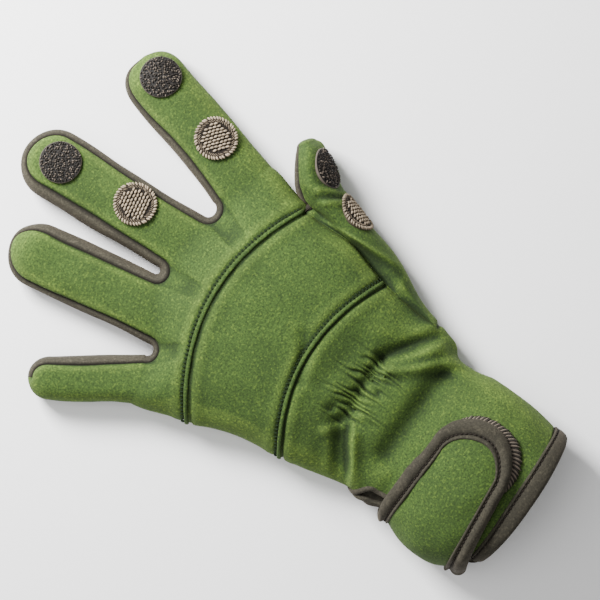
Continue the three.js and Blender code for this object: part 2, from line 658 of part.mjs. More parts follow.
sheets.thumb_palm = sheetOf(thumbPart(thumbLoops.slice(0, thumbCapFrom + 1), backEnd));
sheets.thumb_cap_underside = sheetOf(thumbPart(thumbLoops.slice(thumbCapFrom, -1), backEnd));

const skin = Object.keys(sheets);
const skinNormals = sharedNormals(Object.values(sheets));

// Tapes over the two arched seams, laid on the panels that they join.
function tape(before, seam, after) {
  const aside = (from, to) => point().subVectors(to, from).setLength(seamTapeWidth / 2).add(from);
  return sheetOf([
    seam.map((p, i) => aside(p, before[i])),
    seam.map((p, i) => aside(p, after[i])),
  ], true);
}
const tapeFrom = ulnarAngles.length - 3; // the tapes end where the ulnar side turns under
const beforeKnuckle = [
  ...reversed(ulnarBridge.at(-2)),
  ...topBridge.at(-2).slice(1),
  radialBridge.at(-2)[1],
];
sheets.knuckle_seam = tape(...[
  beforeKnuckle,
  handRow(knuckle, middleAngles),
  handRow(knuckle + tapeStep, middleAngles),
].map((row) => row.slice(tapeFrom)));
sheets.wrist_seam = tape(...[wristSeam - tapeStep, wristSeam, wristSeam + tapeStep]
  .map((station) => handRow(station, middleAngles).slice(tapeFrom)));

// The strap is a tongue that lies on the cuff: out along one edge, round its free end and back.
function cuffPoint(angle, y) {
  let [low, high] = [wrist, cuffEnd];
  for (let i = 0; i < halvings; i += 1) {
    const station = (low + high) / 2;
    if (handPoint(station, angle).y > y) low = station;
    else high = station;
  }
  return handPoint(low, angle);
}
function cuffAngleAt(x, y) {
  const [ulnar, radial] = [-90, 90].map((angle) => cuffPoint(angle, y).x);
  return degreesOf(Math.min(Math.max((2 * (x - ulnar)) / (radial - ulnar) - 1, -1), 1));
}
const strapY = wristY - strap.along * cuffLength;
const strapRound = axisX + strap.tip * cuffWidth - strapWidth / 2;
const strapSteps = [
  ...span(0, 1, strapColumns).slice(0, -1).map((m) => ({ side: 1, m })),
  ...tipSteps,
  ...span(1, 0, strapColumns).slice(1).map((m) => ({ side: -1, m })),
];
function strapPoint(step, rho) {
  const reach = (rho * strapWidth) / 2;
  if (step.turn === undefined) {
    const angle = mix(-strapStart, cuffAngleAt(strapRound, strapY), step.m);
    return cuffPoint(angle, strapY + step.side * reach);
  }
  const x = strapRound + reach * Math.cos(radians(step.turn));
  const y = strapY - reach * Math.sin(radians(step.turn));
  return cuffPoint(cuffAngleAt(x, y), y);
}
const strapRows = (list, from, to, count) => list.map((step) => (
  span(from, to, count).map((rho) => strapPoint(step, rho))
));
const bindingRho = 1 - bindingWidth / (strapWidth / 2);
sheets.strap_binding = sheetOf(strapRows(strapSteps, 1, bindingRho, 2));
sheets.wrist_strap = sheetOf(strapRows(strapSteps, bindingRho, 0, 2));
const patchEdge = 1 + patchShow / (strapWidth / 2);
sheets.strap_hook_patch = sheetOf(strapRows(tipSteps, patchEdge, 1 - patchEdge / 2, 3));

// Coins: round, and laid on the skin along its own slope.
const skinFaces = skin.flatMap((name) => (
  sheets[name].faces.map((face) => face.map((i) => sheets[name].points[i]))
));
function land(from, towards) {
  const ray = new THREE.Ray(from, towards);
  const hits = skinFaces
    .map(([a, b, c]) => ray.intersectTriangle(a, b, c, true, point()))
    .filter((hit) => hit);
  return hits.reduce((best, hit) => (hit.distanceTo(from) < best.distanceTo(from) ? hit : best));
}
function slopeAt(p) {
  const slope = point();
  for (const [a, b, c] of skinFaces) {
    const centre = point().add(a).add(b).add(c).divideScalar(3);
    const normal = point().subVectors(b, a).cross(point().subVectors(c, a));
    slope.addScaledVector(normal, Math.exp(-((centre.distanceTo(p) / coinProbe) ** 2)));
  }
  return slope.normalize();
}
// Each spoke of a coin walks outwards over the skin, so that the coin bends but keeps its size.
function coin(x, y) {
  const middle = land(point(x, y, cuffHeight + palmHeight), point(0, 0, -1));
  const normal = slopeAt(middle);
  const side = point(0, 1, 0).cross(normal).normalize();
  const up = point().crossVectors(normal, side);
  const spokes = span(0, 360, coinSides).map((turn) => {
    const heading = point()
      .addScaledVector(side, Math.cos(radians(turn)))
      .addScaledVector(up, Math.sin(radians(turn)));
    const spoke = [middle];
    for (let ring = 0; ring < coinRings; ring += 1) {
      const from = spoke[ring];
      const next = from.clone().addScaledVector(heading, dotDiameter / 2 / coinRings);
      const slope = slopeAt(next);
      const hit = land(next.clone().addScaledVector(slope, coinProbe), slope.clone().negate());
      spoke.push(hit);
      heading.subVectors(hit, from).projectOnPlane(slope).normalize();
    }
    return spoke;
  });
  return sheetOf(spokes);
}
for (const [name, spots] of Object.entries(coins)) {
  for (const [kind, place] of Object.entries(spots)) {
    const finger = fingers[name];
    const [x, y] = finger
      ? fingerPlan(finger, place[0] * finger.length, (place[1] * finger.width) / 2)
      : [toX(place[0]), toY(place[1])];
    sheets[`${name}_${kind}_dot`] = coin(x, y);
  }
}

// Finishes
const finishes = {
  jersey: new THREE.MeshStandardMaterial({ color: 0x6a8a3c, roughness: 0.92, metalness: 0 }),
  suede: new THREE.MeshStandardMaterial({ color: 0x6d5f52, roughness: 0.95, metalness: 0 }),
  hook: new THREE.MeshStandardMaterial({ color: 0x35302b, roughness: 0.7, metalness: 0 }),
  loop: new THREE.MeshStandardMaterial({ color: 0xcbb393, roughness: 0.98, metalness: 0 }),
};

// Each piece: its finish, and where its two faces lie from the skin, in millimetres outwards.
const onSkin = [fitGap, fitGap + seamTapeHeight];
const coinFaces = [coinGap, coinGap + dotHeight];
const patchFaces = [fitGap, fitGap + patchHeight];
const strapFaces = [patchFaces[1] + fitGap, patchFaces[1] + fitGap + strapWall];
const pieces = {
  back_finger_panel: { finish: 'jersey', faces: [-wall, 0] },
  back_middle_panel: { finish: 'jersey', faces: [-wall, 0] },
  back_wrist_panel: { finish: 'jersey', faces: [-wall, 0] },
  palm_panel: { finish: 'suede', faces: [-palmWall, 0] },
  index_cap_underside: { finish: 'suede', faces: [-palmWall, 0] },
  middle_cap_underside: { finish: 'suede', faces: [-palmWall, 0] },
  gusset_little_ring: { finish: 'suede', faces: [-palmWall, 0] },
  gusset_ring_middle: { finish: 'suede', faces: [-palmWall, 0] },
  gusset_middle_index: { finish: 'suede', faces: [-palmWall, 0] },
  thumb_back: { finish: 'jersey', faces: [-wall, 0] },
  thumb_palm: { finish: 'suede', faces: [-palmWall, 0] },
  thumb_cap_underside: { finish: 'suede', faces: [-palmWall, 0] },
  cuff_palm_panel: { finish: 'suede', faces: [-wall, 0] },
  cuff_binding: { finish: 'suede', faces: [-wall, 0] },
  knuckle_seam: { finish: 'jersey', faces: onSkin },
  wrist_seam: { finish: 'jersey', faces: onSkin },
  wrist_strap: { finish: 'jersey', faces: strapFaces },
  strap_binding: { finish: 'suede', faces: strapFaces },
  strap_hook_patch: { finish: 'hook', faces: patchFaces },
  index_hook_dot: { finish: 'hook', faces: coinFaces },
  middle_hook_dot: { finish: 'hook', faces: coinFaces },
  thumb_hook_dot: { finish: 'hook', faces: coinFaces },
  index_loop_dot: { finish: 'loop', faces: coinFaces },
  middle_loop_dot: { finish: 'loop', faces: coinFaces },
  thumb_loop_dot: { finish: 'loop', faces: coinFaces },
};

const strapNormals = sharedNormals([sheets.wrist_strap, sheets.strap_binding]);
const glove = new THREE.Group();
for (const [name, piece] of Object.entries(pieces)) {
  const sheet = sheets[name];
  let normals = sharedNormals([sheet]);
  if (skin.includes(name)) normals = skinNormals;
  if (name === 'wrist_strap' || name === 'strap_binding') normals = strapNormals;
  const mesh = new THREE.Mesh(thicken(sheet, normals, ...piece.faces), finishes[piece.finish]);
  mesh.name = name;
  glove.add(mesh);
}
export default glove;
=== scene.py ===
# A left-hand neoprene fishing glove with fold-back fingertips, lying palm down on a pale floor.
# The skin is worked out from the same sections as its frame, in millimetres, with far more points.
# Fingers point towards +Y, the thumb side is +X and the back of the hand faces +Z.
import math

import bpy
import numpy as np
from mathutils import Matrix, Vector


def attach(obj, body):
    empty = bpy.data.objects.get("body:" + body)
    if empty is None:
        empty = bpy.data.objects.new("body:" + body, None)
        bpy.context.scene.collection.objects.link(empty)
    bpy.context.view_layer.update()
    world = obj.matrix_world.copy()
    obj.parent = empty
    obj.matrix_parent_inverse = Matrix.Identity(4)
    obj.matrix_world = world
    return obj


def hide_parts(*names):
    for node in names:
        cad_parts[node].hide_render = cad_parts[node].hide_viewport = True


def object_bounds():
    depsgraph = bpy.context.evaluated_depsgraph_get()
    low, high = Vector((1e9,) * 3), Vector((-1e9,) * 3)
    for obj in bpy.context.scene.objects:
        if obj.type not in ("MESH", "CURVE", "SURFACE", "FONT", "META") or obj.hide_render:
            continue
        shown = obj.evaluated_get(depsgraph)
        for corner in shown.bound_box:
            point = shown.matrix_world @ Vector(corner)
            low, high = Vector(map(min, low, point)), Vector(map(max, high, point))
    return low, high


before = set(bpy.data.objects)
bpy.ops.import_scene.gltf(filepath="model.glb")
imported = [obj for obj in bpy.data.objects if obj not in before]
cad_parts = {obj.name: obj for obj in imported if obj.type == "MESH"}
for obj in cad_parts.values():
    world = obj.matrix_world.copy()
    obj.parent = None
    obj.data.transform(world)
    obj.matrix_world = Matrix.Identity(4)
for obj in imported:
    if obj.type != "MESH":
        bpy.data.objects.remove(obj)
cadBox = [list(corner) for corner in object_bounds()]

hand = {
    "palmWidth": 108.0,
    "palmLength": 114.0,
    "palmHeight": 33.0,
    "cuffLength": 75.0,
    "cuffWidth": 77.0,
    "cuffHeight": 44.0,
    "fingerLength": 85.0,
    "fingerWidth": 31.0,
    "fingerHeight": 20.0,
    "thumbHeight": 29.0,
    "gussetShow": 5.0,  # of the brown gusset, seen from above
    "shoulder": 58.0,  # degrees round a section: 0 is the crown, 90 the thumb side, 180 the sole
    "seamUnder": 116.0,
    "thumbTop": 70.0,
    "thumbUnder": 128.0,
    "slitBack": 62.0,
    "slitPalm": 76.0,
    "sideTurn": 30.0,
    "soleFlat": 0.6,
    "widest": 0.37,
    "fingerWidest": 0.48,
    "thumbWidest": 0.42,
    "fingerFullness": 2.6,
    "crownTaper": 0.12,
    "underRho": 0.9,
    "crotchDepth": 0.9,
    "bindingWidth": 8.0,
}
axisX = -0.0347 * hand["palmWidth"]
wristY = (hand["cuffLength"] - hand["palmLength"] - hand["fingerLength"]) / 2
wholeLength = hand["cuffLength"] + hand["palmLength"] + hand["fingerLength"]
mm = (cadBox[1][1] - cadBox[0][1]) / wholeLength  # metres in a millimetre of the tables
rng = np.random.default_rng(7)

# Fingers: long and wide are shares of the middle finger's, across and up are shares of the palm.
# A profile's columns are along, left, right (half widths) and the gusset's trims left and right.
fingers = {
    "index": {
        "long": 0.888, "wide": 0.968, "across": 0.426, "up": 0.921, "heading": 22.3, "tip": 0.8,
        "square": 2.6, "leftRoot": 0.075, "rightRoot": 0.03, "tipTrim": 0.02,
        "along": [0, 0.25, 0.5, 0.7, 1],
        "left": [0.84, 0.8, 0.84, 0.92, 0.86],
        "right": [1.17, 1.12, 1.08, 1.0, 0.95],
        "leftTrim": [0.5, 0.56, 0.55, 0.42, 0.02],
        "rightTrim": [0.8, 0.75, 0.7, 0.65, 0.6],
    },
    "middle": {
        "long": 1, "wide": 1, "across": 0.134, "up": 1, "heading": 1, "tip": 0.82,
        "square": 2.1, "leftRoot": 0.082, "rightRoot": 0.012, "tipTrim": 0.4,
        "along": [0, 0.25, 0.5, 0.75, 1],
        "left": [0.97, 0.97, 1.0, 0.98, 0.96],
        "right": [0.96, 0.94, 0.98, 1.04, 1.02],
        "leftTrim": [0.7, 0.8, 0.98, 0.92, 0.66],
        "rightTrim": [0.56, 0.48, 0.42, 0.41, 0.42],
    },
    "ring": {
        "long": 0.853, "wide": 0.968, "across": -0.167, "up": 0.978, "heading": -3.6, "tip": 0.8,
        "square": 2, "leftRoot": -0.055, "rightRoot": 0.131, "tipTrim": 0.07,
        "along": [-0.06, 0.25, 0.5, 0.75, 1],
        "left": [0.94, 0.93, 0.98, 1.0, 0.94],
        "right": [1.0, 0.99, 0.99, 0.93, 0.86],
        "leftTrim": [0.58, 0.5, 0.42, 0.34, 0.16],
        "rightTrim": [0.66, 0.82, 0.9, 0.82, 0.34],
    },
    "little": {
        "long": 0.641, "wide": 0.645, "across": -0.444, "up": 0.86, "heading": -25.6, "tip": 0.82,
        "square": 2.1, "leftRoot": 0.15, "rightRoot": 0.07, "tipTrim": 0.3,
        "along": [0, 0.3, 0.5, 0.75, 1],
        "left": [0.9, 0.81, 0.9, 0.97, 0.88],
        "right": [1.42, 1.27, 1.16, 1.02, 0.9],
        "leftTrim": [0.6, 0.6, 0.6, 0.55, 0.5],
        "rightTrim": [0.56, 0.66, 0.72, 0.62, 0.4],
    },
}
fingerOrder = ["little", "ring", "middle", "index"]
for finger in fingers.values():
    finger["length"] = finger["long"] * hand["fingerLength"]
    finger["width"] = finger["wide"] * hand["fingerWidth"]

# Sections of the hand and cuff, from the knuckle seam (0) to the open end (11). Columns: the widest
# points' shares across and along, the arch forward, the crown's height and the dome's fullness.
handRows = np.array([
    [-0.5, 0.667, 0.522, 0.667, 0.165, 0.93, 3.2],
    [-0.455, 0.525, 0.51, 0.53, 0.16, 1, 3],
    [-0.436, 0.41, 0.492, 0.41, 0.148, 1.02, 3],
    [-0.433, 0.29, 0.425, 0.265, 0.128, 1, 2.9],
    [-0.424, 0.2, 0.405, 0.18, 0.075, 0.94, 2.8],
    [-0.41, 0.115, 0.39, 0.1, 0.04, 0.86, 2.7],
    [-0.394, 0.008, 0.37, 0.008, 0.02, 0.9, 2.6],
])
cuffRows = np.array([
    [-0.545, 0.14, 0.415, 0.14, 0, 0.72, 2.5],
    [-0.56, 0.29, 0.39, 0.29, 0, 0.78, 2.4],
    [-0.64, 0.53, 0.4, 0.53, -0.005, 0.96, 2.4],
    [-0.64, 0.78, 0.355, 0.8, -0.02, 1, 2.4],
    [-0.57, 0.905, 0.31, 0.965, -0.045, 1, 2.4],
])
knuckle, wristSeam, elastic, wrist, cuffEnd = 0, 3, 5, 6, 11

# Sections of the thumb: ends of each section inner and outer, its crown and its ridge's lean.
thumbRows = np.array([
    [0.528, 0.704, 0.417, 0.114, 0.8, 0],
    [0.533, 0.726, 0.481, 0.21, 0.86, 0.1],
    [0.542, 0.743, 0.537, 0.316, 0.9, 0.2],
    [0.556, 0.757, 0.579, 0.43, 0.95, 0.3],
    [0.574, 0.77, 0.628, 0.553, 1, 0.35],
    [0.611, 0.791, 0.678, 0.632, 1, 0.35],
    [0.647, 0.808, 0.731, 0.693, 0.98, 0.3],
    [0.676, 0.821, 0.759, 0.744, 0.9, 0.2],
    [0.699, 0.829, 0.766, 0.784, 0.8, 0.1],
])
thumbTip = [0.7475, 0.824]
thumbCapFrom = 6

# Folds of the cloth. Columns: from x and y, to x and y, reach and lift, all in millimetres.
# The first five are the broad ones, which the solids have too; the others are finer.
folds = np.array([
    [-49, -59, -23, -44.5, 4.4, -3.4],
    [-48.5, -66.4, -25.3, -53, 3, 2.2],
    [11, -46.5, 31, -62.5, 3.2, -4],
    [7, -50.5, 28, -80, 3, 3],
    [-24, -70, 17, -74, 6.8, -5.6],
    [-16, -20, 2, -12, 3.4, -1.6],
    [-20, -37, -13, -41, 3, -0.9],
    [-12, -28, 16, -36, 5, -1],
    [-44, -50, -30, -43, 3, 1],
    [-30, -40, -24, -46, 2.6, 1.3],
    [18, -38, 34, -58, 5, 1.2],
    [-42, -76, -20, -79, 4, -1.4],
    [24, -64, 31, -90, 6, 1.2],
])
# A crease is a fold with one sharp flank: up on its left side and down on its right one.
creases = np.array([
    [-19.5, -47.5, -49, -63.4, 1.3, 1.7],
    [8.5, -48.5, 27.5, -70, 2.2, 0.9],
])
creaseFade = {"start": 5, "end": 8}  # how many times in its length it could begin and die out

# Gathers over the wrist elastic. Waves are shares of a pitch, turns and a start in radians.
shirr = {
    "from": -0.46, "to": 0.42, "puckers": 13, "fade": 6.0, "reach": 7.0, "depth": 3.0, "lean": 0.035,
    "pull": 2.0, "pullReach": 3.0,
    "wave": (0.38, 17, 0.4), "fineWave": (0.22, 37, 0.3), "halfShift": 0.25, "shiftReach": 1.4,
    "sharpness": 0.7, "uneven": (0.4, 23, 1, 1.3), "fall": 1.7,
}

density = {
    "alongFinger": 84,
    "roundTip": 30,
    "acrossHalf": 16,
    "side": 12,  # steps down a finger's side and round the hand's side
    "thumbFrom": 3,  # of those, above the upper edge of the thumb's opening
    "crotch": 12,
    "bridge": 30,
    "middleRows": 50,
    "wristRows": 66,
    "cuffRows": 88,
    "plainColumns": 18,
    "perPucker": 8,
    "cuffPalm": 20,
    "thumbPerRow": 7,
    "thumbCap": 12,
}


def mix(a, b, t):
    return a + (b - a) * t


def bell(away, reach):
    return np.exp(-((away / reach) ** 2))


def toX(share):
    return axisX + share * hand["palmWidth"]


def toY(share):
    return wristY + share * hand["palmLength"]


def hermite(a, b, leave, arrive, t):
    # cubic from a to b that leaves and arrives with the given slopes
    return ((1 + 2 * t) * (1 - t) ** 2 * a + t * (1 - t) ** 2 * leave
            + t * t * (3 - 2 * t) * b + t * t * (t - 1) * arrive)


def ease(values, places, at):
    # smooth value of a table's column: a cubic between rows, its slopes those of the rows beside
    values = np.asarray(values, float)
    places = np.asarray(places, float)
    at = np.asarray(at, float)
    last = len(places) - 1
    i = np.clip(np.searchsorted(places, at, side="left") - 1, 0, last - 1)
    step = places[i + 1] - places[i]
    t = np.clip((at - places[i]) / step, 0, 1)
    before = np.maximum(i - 1, 0)
    after = np.minimum(i + 2, last)
    leave = (values[i + 1] - values[before]) / (places[i + 1] - places[before]) * step
    arrive = (values[after] - values[i]) / (places[after] - places[i]) * step
    return hermite(values[i], values[i + 1], leave, arrive, t)


def dome(share, fullness):
    # superellipse arch: root of one less the share to its power
    return np.sqrt(np.maximum(0, 1 - np.abs(share) ** fullness))


def soleRise(share):
    # flat under the hand, then a quarter circle up to the side
    corner = np.maximum(0, (np.abs(share) - hand["soleFlat"]) / (1 - hand["soleFlat"]))
    return 1 - np.sqrt(np.maximum(0, 1 - corner * corner))


def foldLift(x, y):
    # each fold is a bell across its line, each crease a wave across it; they add up
    lift = np.zeros(np.broadcast(x, y).shape)
    for startX, startY, endX, endY, reach, height in folds:
        runX, runY = endX - startX, endY - startY
        along = np.clip(((x - startX) * runX + (y - startY) * runY) / (runX ** 2 + runY ** 2), 0, 1)
        away = np.hypot(x - startX - along * runX, y - startY - along * runY)
        lift = lift + height * bell(away, reach)
    for startX, startY, endX, endY, reach, height in creases:
        runX, runY = endX - startX, endY - startY
        length = math.hypot(runX, runY)
        along = ((x - startX) * runX + (y - startY) * runY) / length ** 2
        away = ((x - startX) * -runY + (y - startY) * runX) / length / reach
        ends = np.clip(along * creaseFade["start"], 0, 1) * np.clip((1 - along) * creaseFade["end"], 0, 1)
        lift = lift + height * ends * away * np.exp(0.5 - away * away / 2)
    return lift


def gatherLift(share, distance):
    # puckers across the elastic: rounded ridges between sharp valleys, which lean, shift by half
    # a pitch from one side of the elastic to the other, and die out unevenly above and below it
    through = (share - shirr["from"]) / (shirr["to"] - shirr["from"])
    high, turns, start = shirr["wave"]
    fineHigh, fineTurns, fineLean = shirr["fineWave"]
    wobble = high * np.sin(turns * through + start)
    wobble = wobble + fineHigh * np.sin(fineTurns * through + distance * fineLean)
    phase = shirr["puckers"] * through + wobble
    phase = phase + shirr["halfShift"] * np.tanh(distance / shirr["shiftReach"]) - shirr["lean"] * distance
    ridge = np.abs(np.sin(np.pi * phase)) ** shirr["sharpness"] - shirr["sharpness"]
    vary, turns, start, apart = shirr["uneven"]
    reach = shirr["reach"] * (1 + vary * np.sin(turns * through + start + apart * np.sign(distance)))
    near = np.exp(-(np.abs(distance / reach) ** shirr["fall"]))
    ends = np.clip(np.minimum(through, 1 - through) * shirr["fade"], 0, 1)
    return ends * (near * shirr["depth"] * ridge - shirr["pull"] * bell(distance, shirr["pullReach"]))


elasticRow = hand["palmLength"] * (handRows[-2, 1] - handRows[-1, 1])
columns = np.vstack([
    np.column_stack([
        toX(handRows[:, 0]), toY(handRows[:, 1]), toX(handRows[:, 2]), toY(handRows[:, 3]),
        handRows[:, 4] * hand["palmWidth"], handRows[:, 5] * hand["palmHeight"], handRows[:, 6],
    ]),
    np.column_stack([
        axisX + cuffRows[:, 0] * hand["cuffWidth"], wristY - cuffRows[:, 1] * hand["cuffLength"],
        axisX + cuffRows[:, 2] * hand["cuffWidth"], wristY - cuffRows[:, 3] * hand["cuffLength"],
        cuffRows[:, 4] * hand["palmWidth"], cuffRows[:, 5] * hand["cuffHeight"], cuffRows[:, 6],
    ]),
])
lastRow = hand["cuffLength"] * (cuffRows[-1, 3] - cuffRows[-2, 3])
hem = cuffEnd - hand["bindingWidth"] / lastRow


def handPoint(station, degrees):
    # a section's point: along the line from its ulnar to its radial end, arched forward, with
    # a dome above the widest line and a flat sole below it
    station, degrees = np.broadcast_arrays(np.asarray(station, float), np.asarray(degrees, float))
    at = [ease(columns[:, k], np.arange(len(columns)), station) for k in range(columns.shape[1])]
    ulnarX, ulnarY, radialX, radialY, arch, crown, fullness = at
    share = np.sin(np.radians(degrees))
    cosine = np.cos(np.radians(degrees))
    x = mix(ulnarX, radialX, (share + 1) / 2)
    y = mix(ulnarY, radialY, (share + 1) / 2) + arch * (1 - share * share)
    side = crown * hand["widest"]
    fade = np.sqrt(np.maximum(cosine, 0))
    lift = np.where(station > knuckle, foldLift(x, y), 0)
    lift = lift + np.where(station > wristSeam, gatherLift(share, (station - elastic) * elasticRow), 0)
    top = side + (crown - side) * dome(share, fullness) + fade * lift
    return np.stack([x, y, np.where(cosine < 0, side * soleRise(share), top)], -1)


def fingerOutline(finger):
    # steps up the left side, round the tip as a superellipse and down the right side; for each
    # its point on the edge, on the spine and the gusset's trim, along and across the finger
    halfWidth = finger["width"] / 2
    roundAt = finger["tip"] * finger["length"]
    m = np.linspace(0, 1, density["alongFinger"] + 1)
    middleRoot = (finger["leftRoot"] + finger["rightRoot"]) / 2 * finger["length"]
    parts = []
    for side, key in ((-1, "left"), (1, "right")):
        along = mix(finger[key + "Root"] * finger["length"], roundAt, m)
        share = along / finger["length"]
        across = side * halfWidth * ease(finger[key], finger["along"], share)
        trim = hand["gussetShow"] * ease(finger[key + "Trim"], finger["along"], share)
        spine = mix(middleRoot, roundAt, m)
        parts.append(np.column_stack([along, across, spine, np.zeros_like(m), trim]))
    turn = np.radians(np.linspace(-90, 90, density["roundTip"] + 1))
    power = finger["square"]
    reach = (np.abs(np.sin(turn)) ** power + np.abs(np.cos(turn)) ** power) ** (-1 / power)
    widths, trims = [], []
    for key in ("left", "right"):
        widths.append(halfWidth * ease(finger[key], finger["along"], finger["tip"]))
        trims.append(ease(finger[key + "Trim"], finger["along"], finger["tip"]))
    width = np.where(turn < 0, widths[0], widths[1])
    sideTrim = np.where(turn < 0, trims[0], trims[1])
    tip = np.column_stack([
        roundAt + (finger["length"] - roundAt) * np.cos(turn) * reach,
        width * np.sin(turn) * reach,
        np.full_like(turn, roundAt),
        np.zeros_like(turn),
        hand["gussetShow"] * mix(finger["tipTrim"], sideTrim, np.sin(turn) ** 2),
    ])
    return np.vstack([parts[0][:-1], tip, parts[1][::-1][1:]])


def fingerPoint(finger, outline, rho, under=False):
    # between spine (rho 0) and edge (rho 1): a dome above, a flat sole with round corners below
    along = mix(outline[:, 2:3], outline[:, 0:1], rho)
    lateral = mix(outline[:, 3:4], outline[:, 1:2], rho)
    crown = hand["fingerHeight"] * (1 - hand["crownTaper"] * np.maximum(along, 0) / finger["length"])
    side = crown * hand["fingerWidest"]
    top = side + (crown - side) * dome(rho, hand["fingerFullness"])
    turn = math.radians(finger["heading"])
    x = toX(finger["across"]) + math.sin(turn) * along + math.cos(turn) * lateral
    y = toY(finger["up"]) + math.cos(turn) * along - math.sin(turn) * lateral
    return np.stack([x, y, side * soleRise(rho) if under else top], -1)


def seamRho(outline):
    reach = np.hypot(outline[:, 0] - outline[:, 2], outline[:, 1] - outline[:, 3])
    return (1 - np.minimum(outline[:, 4] / reach, 0.8))[:, None]


def fingerTop(finger, outline):
    return fingerPoint(finger, outline, seamRho(outline) * np.linspace(1, 0, density["acrossHalf"] + 1))


def fingerSide(finger, outline):
    t = np.linspace(0, 1, density["side"] // 2 + 1)
    upper = fingerPoint(finger, outline, mix(seamRho(outline), 1, 1 - (1 - t) ** 2))
    rho = np.broadcast_to(1 - (1 - hand["underRho"]) * t[1:] ** 2, (len(outline), len(t) - 1))
    return np.concatenate([upper, fingerPoint(finger, outline, rho, True)], 1)


def fingerUnder(finger, outline):
    rho = np.linspace(hand["underRho"], 0, density["acrossHalf"])
    return fingerPoint(finger, outline, np.broadcast_to(rho, (len(outline), len(rho))), True)


def crotchGrid(fromRow, toRow):
    # every point runs round half an ellipse from one finger's side to the next one's
    half = (fromRow - toRow) / 2
    back = np.stack([half[:, 1], -half[:, 0], np.zeros(len(half))], -1)
    back *= np.where(back[:, 1:2] > 0, -1, 1) * hand["crotchDepth"]
    turn = np.linspace(0, np.pi, density["crotch"] + 1)[:, None, None]
    return (fromRow + toRow) / 2 + half * np.cos(turn) + back * np.sin(turn)


def bridge(fromRow, toRow, count):
    # smooth strip between two rows, which leaves and arrives towards the wrist
    t = np.linspace(0, 1, count + 1)[:, None]
    reach = np.linalg.norm(fromRow - toRow, axis=1)
    x = hermite(fromRow[:, 0], toRow[:, 0], 0, 0, t)
    y = hermite(fromRow[:, 1], toRow[:, 1], -reach, -reach, t)
    return np.stack([x, y, hermite(fromRow[:, 2], toRow[:, 2], 0, 0, t)], -1)


def degreesOf(share):
    return np.degrees(np.arcsin(np.clip(share, -1, 1)))


def sine(degrees):
    return math.sin(math.radians(degrees))


# Everything that the panels are cut from: the fingers' outlines and the rows they share.
outlines = {name: fingerOutline(fingers[name]) for name in fingerOrder}
tipStep = density["alongFinger"] + density["roundTip"] // 2
tops = {name: fingerTop(fingers[name], outlines[name]) for name in fingerOrder}
sides = {name: fingerSide(fingers[name], outlines[name]) for name in fingerOrder}
unders = {name: fingerUnder(fingers[name], outlines[name]) for name in fingerOrder}
crotches = {
    (left, right): crotchGrid(sides[left][-1], sides[right][0])
    for left, right in zip(fingerOrder, fingerOrder[1:])
}


def acrossRoots(grids, column):
    # one row over all the fingers' roots and the crotches between them
    rows = [grids["little"][0], grids["little"][-1][::-1][1:]]
    for (left, right), crotch in crotches.items():
        rows.append(crotch[1:, column])
        rows.append(grids[right][0][1:])
        rows.append(grids[right][-1][::-1][1:])
    return np.concatenate(rows)


topRoots = acrossRoots(tops, 0)
underRoots = acrossRoots(unders, -1)


def anglesLike(row, fromShare, toShare):
    # columns follow the row's own spacing, but never crowd: part of it is even
    through = np.sort((row[:, 0] - row[0, 0]) / (row[-1, 0] - row[0, 0]))
    through = mix(through, np.linspace(0, 1, len(through)), 0.4)
    return degreesOf(mix(fromShare, toShare, through))


def joined(*pieces):
    # runs of values or points, each without its first, which repeats the last of the one before
    return np.concatenate([pieces[0]] + [piece[1:] for piece in pieces[1:]])


lowSteps = density["side"] - density["thumbFrom"]
backAngles = anglesLike(topRoots, -sine(hand["shoulder"]), sine(hand["shoulder"]))
ulnarAngles = np.linspace(-hand["shoulder"], -hand["seamUnder"], density["side"] + 1)
upperRadial = np.linspace(hand["shoulder"], hand["thumbTop"], density["thumbFrom"] + 1)
lowerRadial = np.linspace(hand["thumbTop"], hand["thumbUnder"], lowSteps + 1)
radialAngles = joined(upperRadial, lowerRadial)
soleAngles = -180 - anglesLike(underRoots, -sine(hand["seamUnder"]), sine(hand["thumbUnder"]))
middleAngles = joined(ulnarAngles[::-1], backAngles, upperRadial)
shirrShares = np.linspace(shirr["from"], shirr["to"], density["perPucker"] * shirr["puckers"] + 1)
wristAngles = joined(
    ulnarAngles[::-1],
    degreesOf(np.linspace(-sine(hand["shoulder"]), shirr["from"], density["plainColumns"] + 1)),
    degreesOf(shirrShares),
    degreesOf(np.linspace(shirr["to"], sine(hand["shoulder"]), density["plainColumns"] + 1)),
    upperRadial,
)
cuffBackAngles = joined(wristAngles, lowerRadial)
cuffPalmAngles = joined(
    np.linspace(-hand["seamUnder"], -180 + hand["sideTurn"], density["cuffPalm"] + 1),
    np.linspace(-180 + hand["sideTurn"], -180 - hand["sideTurn"], 2 * density["cuffPalm"] + 1),
    np.linspace(-180 - hand["sideTurn"], hand["thumbUnder"] - 360, density["cuffPalm"] + 1),
)


def stretch(angle, fixed, start, end, opened):
    # moves the columns between a fixed one and a panel's edge, as far as the cuff has opened
    t = (angle - fixed) / (start - fixed)
    return np.where(t <= 0, angle, mix(angle, mix(fixed, end, t), opened))


def cuffAngles(station, angles, palm):
    # below the wrist the ulnar edges part at the slit, and the radial seam turns under the hand
    opened = np.sin(np.minimum(station - wrist, 1) * np.pi / 2)
    under = hand["seamUnder"]
    if palm:
        turn = hand["sideTurn"]
        slit = stretch(angles, -180 + turn, -under, -hand["slitPalm"], opened)
        return stretch(slit, -180 - turn, hand["thumbUnder"] - 360, under - 360, opened)
    slit = stretch(angles, -hand["shoulder"], -under, -hand["slitBack"], opened)
    return stretch(slit, hand["shoulder"], hand["thumbUnder"], under, opened)


def cuffGrid(stations, angles, palm):
    rows = stations[:, None]
    return handPoint(rows, cuffAngles(rows, angles[None, :], palm))


def handGrid(stations, angles):
    return handPoint(stations[:, None], angles[None, :])


